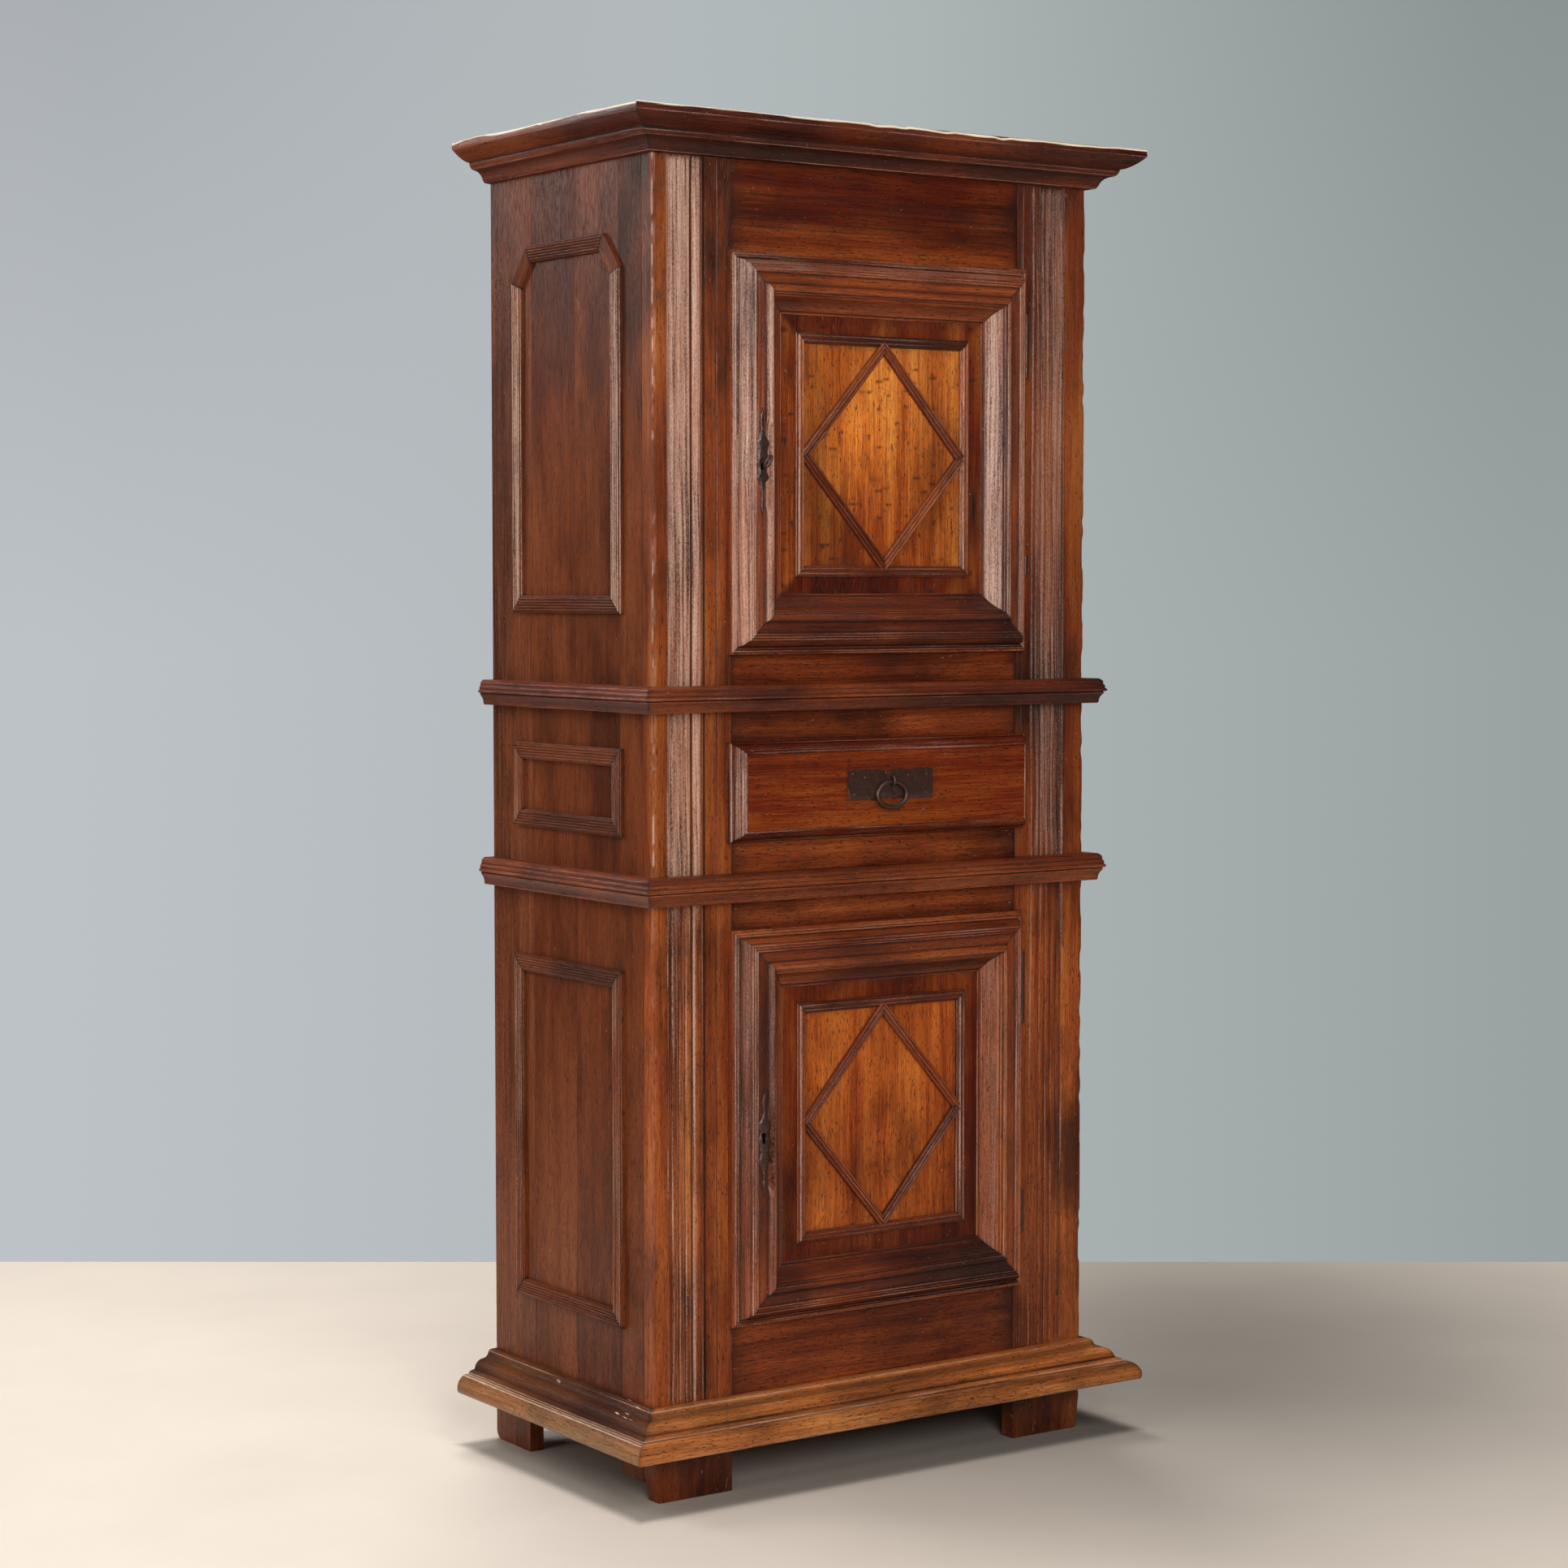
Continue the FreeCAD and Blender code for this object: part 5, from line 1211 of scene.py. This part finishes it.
def trimShells(door):
    # a mitred trim and, inside it, a lozenge whose four corners run over the trim by the overlap
    look = panelTrim
    place = doorShape(door)
    trim = section(trimShares, look["width"], look["height"], look["step"], look["softness"])
    lozenge = section(lozengeShares, look["lozengeWidth"], look["lozengeHeight"], look["step"],
                      look["softness"])
    shells = doorFrameRuns(door, look["inset"], trim, wave=look["wave"])
    inward = look["inset"] + look["width"] - look["overlap"]
    middle = (place["low"] + place["high"]) / 2
    reachX, reachZ = place["half"] - inward, (place["high"] - place["low"]) / 2 - inward
    diamond = [(reachX, middle), (0, middle + reachZ), (-reachX, middle), (0, middle - reachZ)]
    strips = frameRuns(diamond, lozenge, frontSide, (0, place["surface"], 0), wave=look["wave"])
    for kind, kinds in (("lozenge", strips), ("level", shells[::2])):
        for shell in kinds:
            shell["wear"] = shell["wear"] * look[kind + "Wear"]
            shell["shade"] = look[kind + "Shade"]
    return shells + strips


for door, wood in (("upper", panelWood), ("lower", lowerPanelWood)):
    body = door + "_door"
    madePiece(body + "_moulding", doorMouldingShells(door), mouldWood, body)
    madePiece(body + "_panel", [panelShell(door)], wood, body)
    madePiece(door + "_panel_trim", trimShells(door), mouldWood, body)
print("doors made")


# Drawer front: a thick board whose edge falls in steps to a thin lip, with a body behind it

drawer = {
    "edge": 17 * mm, "relief": 31.7 * mm, "step": 0.9 * mm, "softness": 0.3 * mm, "ahead": 0.3 * mm,
    # how pale the runs below, right, above and left are, and the least for the left run: wear and painted
    # highlights
    "rubbed": 0.7 * mm, "wear": (0.45, 0.8, 0.45, 1.0), "leastWear": 0.35, "shade": 0.25, "round": 0.3 * mm,
    "faceStep": 3 * mm, "rowStep": 4 * mm, "dent": 0.6 * mm, "dentBand": (0.6, 0.95), "dentSoil": 0.5,
    # the grime round the plate: half its length, its height, half its own height, how far the grime reaches
    "plate": (74 * mm, 1033 * mm, 20 * mm), "grimeReach": 14 * mm, "grime": 0.35,
    "bodyBehind": 20 * mm, "bodyAbove": 4 * mm, "bodyRound": 0.5 * mm, "bodyStep": 12 * mm,
}
drawerShares = [(0, 0), (0, 0.28), (0.05, 0.34), (0.13, 0.38, "m"), (0.21, 0.33), (0.24, 0.46),
                (0.32, 0.60, "m"), (0.40, 0.64), (0.42, 0.60), (0.50, 0.76, "m"), (0.58, 0.78), (0.60, 0.75),
                (0.68, 0.90, "m"), (0.76, 0.91), (0.78, 0.88), (0.86, 1.0, "m"), (0.95, 1.0), (1, 1), (1, 0)]


def drawerShells():
    # the stepped edge as a mitred frame, the flat face inside it, and the drawer's body
    low, high = cadBox("drawer_front")
    surface = front - drawer["ahead"]
    face, edge = surface - drawer["relief"], drawer["edge"]
    profile = section(drawerShares, edge, drawer["relief"], drawer["step"], drawer["softness"])
    corners = [(low[0], low[2]), (high[0], low[2]), (high[0], high[2]), (low[0], high[2])]
    shells = frameRuns(corners, profile, frontSide, (0, surface, 0), rub=drawer["rubbed"])
    # the left run's reeds are pale with painted highlights as well as wear
    for shell, wear in zip(shells, drawer["wear"]):
        shell["wear"] = np.maximum(shell["wear"], drawer["leastWear"] * (wear == 1)) * wear
        shell["shade"] = drawer["shade"]

    def shape(points, marks):
        x, y, z = split(points)
        onFace = rise(face + 2.5 * mm - y, 0, 1.5 * mm)
        dents = rise(noise(points, 20 * mm, 7.7), *drawer["dentBand"]) * onFace
        half, middle, halfTall = drawer["plate"]
        fromPlate = np.hypot(np.maximum(np.abs(x) - half, 0), np.maximum(np.abs(z - middle) - halfTall, 0))
        raiseMark(marks, "soil", fall(fromPlate, 0, drawer["grimeReach"]) * drawer["grime"] * onFace)
        raiseMark(marks, "soil", dents * drawer["dentSoil"])
        return joined(x, y + dents * drawer["dent"], z)

    shells.append(boardShell((low[0] + edge, face, low[2] + edge), (high[0] - edge, surface, high[2] - edge),
                             "x", drawer["round"], drawer["faceStep"], drawer["rowStep"], shape=shape,
                             edgeWear=0.0))
    (half, _, bottom), (_, _, top) = cadBox("drawer_side_right")
    behind, above = front + drawer["bodyBehind"], top + drawer["bodyAbove"]
    shells.append(boardShell((-half, surface, bottom), (half, behind, above), "x", drawer["bodyRound"],
                             drawer["bodyStep"]))
    return shells


madePiece("drawer_front", drawerShells(), drawerWood, "drawer")
print("drawer made")


# Ironwork

def ironShell(points, **more):
    return {"points": points, "grain": points, "wear": 0.3, "soil": 0.0, **more}


def fullTurn(count):
    return np.linspace(0, 2 * math.pi, count, endpoint=False)


def tubeShell(path, radius, side, uneven=0.05):
    # a round bar in a closed ring: a circle carried along a flat path whose plane has the given normal; its
    # thickness sways a little
    along = np.roll(path, -1, axis=0) - np.roll(path, 1, axis=0)
    along /= np.linalg.norm(along, axis=1, keepdims=True)
    side = np.array(side, float)
    across = np.cross(along, side)
    angle = fullTurn(16)
    circle = across[:, None] * np.cos(angle)[:, None] + side * np.sin(angle)[:, None]
    thick = radius * (1 - uneven + uneven * noise(path, 9 * mm, 1.5))
    return ironShell(path[:, None] + circle * thick[:, None, None], ring=True)


def nailShell(x, y, z, radius=2.6 * mm, height=1.3 * mm):
    # a domed nail head on a face that looks along -Y: circles that shrink as they rise
    lift = np.radians([-12, 8, 28, 48, 68, 86])[:, None]
    angle = fullTurn(12)
    points = joined(x + radius * np.cos(lift) * np.cos(angle), y - height * np.sin(lift) + 0 * angle,
                    z + radius * np.cos(lift) * np.sin(angle))
    return ironShell(points + 0.25 * mm * noise(points, 2 * mm)[..., None])


def sheetShell(rows, left, right, surface, thick, dome, place):
    # an uneven sheet of iron on a face that looks along -Y. place(row, across) gives x and z; each row goes
    # from its left limit to its right one over the front and returns along the back
    count = 22
    share = np.linspace(0, 1, count)
    bulge = (1 - (2 * share - 1) ** 6) * thick + dome * (1 - (2 * share - 1) ** 2)
    across = np.concatenate([share, share[::-1][1:-1]])
    height = np.concatenate([np.maximum(bulge, 0.25 * thick), np.full(count - 2, 0.0)])
    x, z = place(rows[:, None], left[:, None] + (right - left)[:, None] * across)
    points = joined(x, surface - height + 0 * x, z)
    dents = 0.5 * mm * (noise(points, 7 * mm, 3.0) + 0.7 * noise(points, 2.6 * mm, 5.0)) * (height > 0)
    points[..., 1] += np.clip(dents, -0.2 * mm, thick * 0.5)
    return ironShell(points)


pull = {
    "ringHalf": (26.6 * mm, 18.8 * mm), "ringWire": 3.7 * mm, "stapleRadius": 7.2 * mm, "stapleWire": 1.9 * mm,
    "ringDrop": 1.8 * mm, "ringAhead": 0.8 * mm, "ringWorn": 0.22, "ringUneven": 0.06, "rowStep": 1.2 * mm,
    "sunk": 0.3 * mm, "topWaves": 0.5 * mm, "sharp": 50,
    # how far the plate's upper and lower edges lie in, as shares of its height, at shares of its length
    "topShares": [(0, 0.03), (0.20, 0.0), (0.40, 0.03), (0.45, 0.13), (0.50, 0.04), (0.60, 0.0), (0.74, 0.05),
                  (0.80, 0.01), (0.95, 0.0), (1, 0.03)],
    "bottomShares": [(0, 0.34), (0.015, 0.12), (0.04, 0.05), (0.30, 0.03), (0.50, 0.06), (0.70, 0.03),
                     (0.85, 0.01), (1, 0.04)],
    # nails, in millimetres from the plate's middle
    "nails": [(-69, 17), (-66, -14), (-47, 11), (33, 12), (67, 13), (66, -15), (-8, 17)],
}


def pullPieces():
    # a ragged plate with nails, a staple that turns round the ring's axis, and an oval ring worn thin on top
    low, high = cadBox("pull_plate")
    rows = np.arange(low[0], high[0], pull["rowStep"])
    share = (rows - low[0]) / (high[0] - low[0])
    tall = high[2] - low[2]
    top = high[2] - tall * np.interp(share, *zip(*pull["topShares"]))
    bottom = low[2] + tall * np.interp(share, *zip(*pull["bottomShares"]))
    top += pull["topWaves"] * (noise(joined(rows, 0 * rows, 0 * rows), 6 * mm) - 1)
    shells = [sheetShell(rows, bottom, top, high[1], high[1] - low[1] - pull["sunk"], 0,
                         lambda row, z: (row + 0 * z, z))]
    centre = (low + high) / 2
    shells += [nailShell(x * mm, low[1] + pull["sunk"], centre[2] + z * mm) for x, z in pull["nails"]]
    madePiece("pull_plate", shells, iron, "drawer", pull["sharp"])
    stapleLow, stapleHigh = cadBox("pull_staple")
    middle = (stapleLow[2] + stapleHigh[2]) / 2
    radius = pull["stapleRadius"]
    axis = stapleLow[1] + pull["stapleWire"] + radius - pull["sunk"]
    turn = fullTurn(40)
    loop = joined(0 * turn, axis + radius * np.cos(turn), middle + radius * np.sin(turn))
    madePiece("pull_staple", [tubeShell(loop, pull["stapleWire"], (1, 0, 0))], iron, "drawer")
    turn = fullTurn(90)
    wide, halfTall = pull["ringHalf"]
    ring = joined(wide * np.cos(turn), axis - pull["ringAhead"] + 0 * turn,
                  middle - pull["ringDrop"] - halfTall + halfTall * np.sin(turn))
    wire = pull["ringWire"] * (1 - pull["ringWorn"] * hump(turn, math.pi / 2, 0.4))
    madePiece("pull_ring", [tubeShell(ring, wire, (0, 1, 0), pull["ringUneven"])], iron, "ring")


escutcheon = {
    "halfWidth": 11.6 * mm, "aside": 3.4 * mm, "thick": 1.4 * mm, "dome": 1.4 * mm, "rowStep": 1.0 * mm,
    "leastHalf": 0.5 * mm, "uneven": 0.14, "sway": 0.4 * mm, "darkMargin": 0.8 * mm, "nailRadius": 2.2 * mm,
    "nailAside": 0.6 * mm, "nailAhead": 1.6 * mm, "nails": {"upper": 1482 * mm, "lower": 548.6 * mm},
    # half width against the length from the bottom, both as shares
    "shares": [(0, 0), (0.22, 0.05), (0.30, 0.13), (0.20, 0.21), (0.42, 0.29), (0.92, 0.35), (0.62, 0.42),
               (0.85, 0.47), (0.88, 0.55), (0.70, 0.60), (0.95, 0.68), (0.50, 0.75), (0.24, 0.80), (0.34, 0.88),
               (0.24, 0.95), (0, 1)],
}


def escutcheonPiece(door):
    # a plate whose two edges lie half its width from a middle line and sway, with a keyhole and a nail
    plate = escutcheon
    low, high = cadBox(door + "_escutcheon")
    place = doorShape(door)
    rows = np.arange(low[2], high[2] + mm / 2, plate["rowStep"])
    width, length = zip(*plate["shares"])
    half = np.interp((rows - low[2]) / (high[2] - low[2]), length, width) * plate["halfWidth"]
    half = np.maximum(averaged(half[:, None], 1.6)[:, 0], plate["leastHalf"])
    line = joined(0 * rows, 0 * rows, rows)
    centre = place["keyholeX"] + plate["aside"] * np.clip(half / plate["halfWidth"], 0.5, 1)
    left, right = [centre + side * half * (1 + plate["uneven"] * noise(line, 7 * mm, shift))
                   + plate["sway"] * noise(line, 16 * mm, 2.0) for side, shift in ((-1, 1.0), (1, 6.0))]
    shell = sheetShell(rows, left, right, high[1], plate["thick"], plate["dome"],
                       lambda row, x: (x, row + 0 * x))
    drillKeyhole(shell["points"], place)
    # the keyhole and a thin margin round it are painted black as the shade inside the hole
    shell["soil"] = insideKeyhole(shell["points"], place, plate["darkMargin"]).astype(float)
    nail = nailShell(place["keyholeX"] + plate["nailAside"], high[1] - plate["nailAhead"], plate["nails"][door],
                     plate["nailRadius"])
    madePiece(door + "_escutcheon", [shell, nail], iron, door + "_door", pull["sharp"])


pullPieces()
for door in ("upper", "lower"):
    escutcheonPiece(door)
for name in ("frame_hinges", "upper_hinge_leaves", "lower_hinge_leaves", "upper_lock_case", "lower_lock_case",
             "upper_lock_bolt", "lower_lock_bolt", "upper_key"):
    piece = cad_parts[name]
    piece.data.materials.clear()
    piece.data.materials.append(iron)
print("ironwork made")


# Floor, lamps and camera

stage = {
    "cameraPlace": (-2.9073, -4.1816, 1.3274), "cameraTurn": (90 - 3.432, 0, -34.479), "lens": 75.83,
    "sensor": 36.0, "floorFar": 6.43, "floorWide": 14.0,
    # metres from the camera and to its right, reach across and away, depth
    "floorShadows": [(5.75, 0.75, (1.3, 2.0), 0.65), (4.65, 0.2, (0.9, 0.6), 0.1)],
    "underDepth": 0.5, "softLight": (0.93, 0.96, 1.0, 1), "softStrength": 0.04,
    # the wall's colours from left to right, how far they spread, and how its upper corners darken
    "wall": [(0.0, (0.51, 0.54, 0.575)), (0.5, (0.435, 0.475, 0.48)), (1.0, (0.325, 0.365, 0.365))],
    "wallSpread": (-0.22, 0.22), "cornerAside": (0.04, 0.2), "cornerAbove": (-0.02, 0.17), "cornerDepth": 0.2,
}


def linked(name, data):
    made = bpy.data.objects.new(name, data)
    bpy.context.scene.collection.objects.link(made)
    return made


cameraData = bpy.data.cameras.new("camera")
cameraData.lens = stage["lens"]
cameraData.sensor_width = stage["sensor"]
camera = linked("camera", cameraData)
camera.location = stage["cameraPlace"]
camera.rotation_euler = [math.radians(v) for v in stage["cameraTurn"]]
bpy.context.scene.camera = camera

heading = math.radians(stage["cameraTurn"][2])
forward = np.array([-math.sin(heading), math.cos(heading), 0])
sideways = np.array([math.cos(heading), math.sin(heading), 0])
cameraPlan = np.array([*stage["cameraPlace"][:2], 0])
far = cameraPlan + forward * stage["floorFar"]
wide = stage["floorWide"]
floorMesh = bpy.data.meshes.new("floor")
floorMesh.from_pydata([tuple(far + sideways * a * wide - forward * b * 2 * wide)
                       for a, b in ((-1, 1), (1, 1), (1, 0), (-1, 0))], [], [(0, 1, 2, 3)])
patches = [((cameraPlan + forward * away + sideways * aside)[:2], reach, depth)
           for away, aside, reach, depth in stage["floorShadows"]]
rimLow, rimHigh = cadBox("plinth_rim")
under = (rimHigh[0], (rimHigh[1] - rimLow[1]) / 2, (rimHigh[1] + rimLow[1]) / 2, stage["underDepth"])
floorMesh.materials.append(floorMaterial("paleFloor", heading, patches, under))
floor = linked("floor", floorMesh)

white, warm = (1, 1, 1), (1.0, 0.87, 0.76)
lamps = {
    # place, aim, width, height, watts, colour, and whether only reflections show it
    "leftBox": ((-3.6, -0.3, 1.7), (0, -0.1, 1.0), 1.2, 2.4, 24, white, False),
    "frontBox": ((-2.1, -4.7, 2.3), (0, 0, 1.0), 1.6, 1.6, 120, white, False),
    "backLeftBox": ((-2.6, 2.6, 2.8), (0, 0, 1.0), 1.6, 1.6, 60, white, False),
    "backTop": ((0.8, 2.2, 3.6), (0, 0, 1.0), 1.2, 1.2, 62, white, False),
    "frontHigh": ((-0.5, -4.0, 4.2), (0, 0, 0.8), 1.6, 1.6, 75, white, False),
    "topWide": ((0, 0, 4.6), (0, 0, 0.6), 3.2, 3.2, 78, white, False),
    "upperLeft": ((-2.3, 0.1, 4.0), (0, 0, 0.6), 1.4, 1.4, 28, white, False),
    "sheenLeft": ((-3.6, -0.5, 1.5), (0, -0.1, 1.0), 1.4, 2.8, 70, warm, True),
    "sheenLeftFront": ((-3.0, -2.9, 1.7), (0, -0.1, 1.0), 1.4, 2.6, 75, warm, True),
}
for name, (place, aim, width, height, watts, color, sheenOnly) in lamps.items():
    data = bpy.data.lights.new(name, "AREA")
    data.shape = "RECTANGLE"
    data.size, data.size_y = width, height
    data.energy = watts
    data.color = color
    lamp = linked(name, data)
    lamp.location = place
    direction = np.array(aim, float) - np.array(place, float)
    lamp.rotation_euler = Vector(direction).to_track_quat("-Z", "Y").to_euler()
    lamp.visible_diffuse = not sheenOnly

# The world is a wall colour for the camera and a faint even light for everything else
world = bpy.data.worlds.new("studio")
bpy.context.scene.world = world
world.use_nodes = True
tree = world.node_tree
tree.nodes.clear()
soft = node(tree, "ShaderNodeBackground", {"Color": stage["softLight"], "Strength": stage["softStrength"]})
direction = node(tree, "ShaderNodeTexCoord").outputs["Generated"]
across = node(tree, "ShaderNodeVectorMath", {0: direction, 1: tuple(sideways)}, operation="DOT_PRODUCT")
across = across.outputs["Value"]
height = node(tree, "ShaderNodeSeparateXYZ", {0: direction}).outputs["Z"]
wallColor = ramp(tree, ranged(tree, across, *stage["wallSpread"]), stage["wall"])
aside = ranged(tree, maths(tree, "ABSOLUTE", across), *stage["cornerAside"])
corner = times(tree, times(tree, aside, ranged(tree, height, *stage["cornerAbove"])), stage["cornerDepth"])
wall = node(tree, "ShaderNodeBackground", {"Color": wallColor, "Strength": minus(tree, 1.0, corner)})
seen = node(tree, "ShaderNodeLightPath").outputs["Is Camera Ray"]
mixed = node(tree, "ShaderNodeMixShader", {0: seen, 1: soft.outputs[0], 2: wall.outputs[0]})
node(tree, "ShaderNodeOutputWorld", {"Surface": mixed.outputs[0]})

bpy.context.scene.view_settings.view_transform = "Standard"
print("stage set")
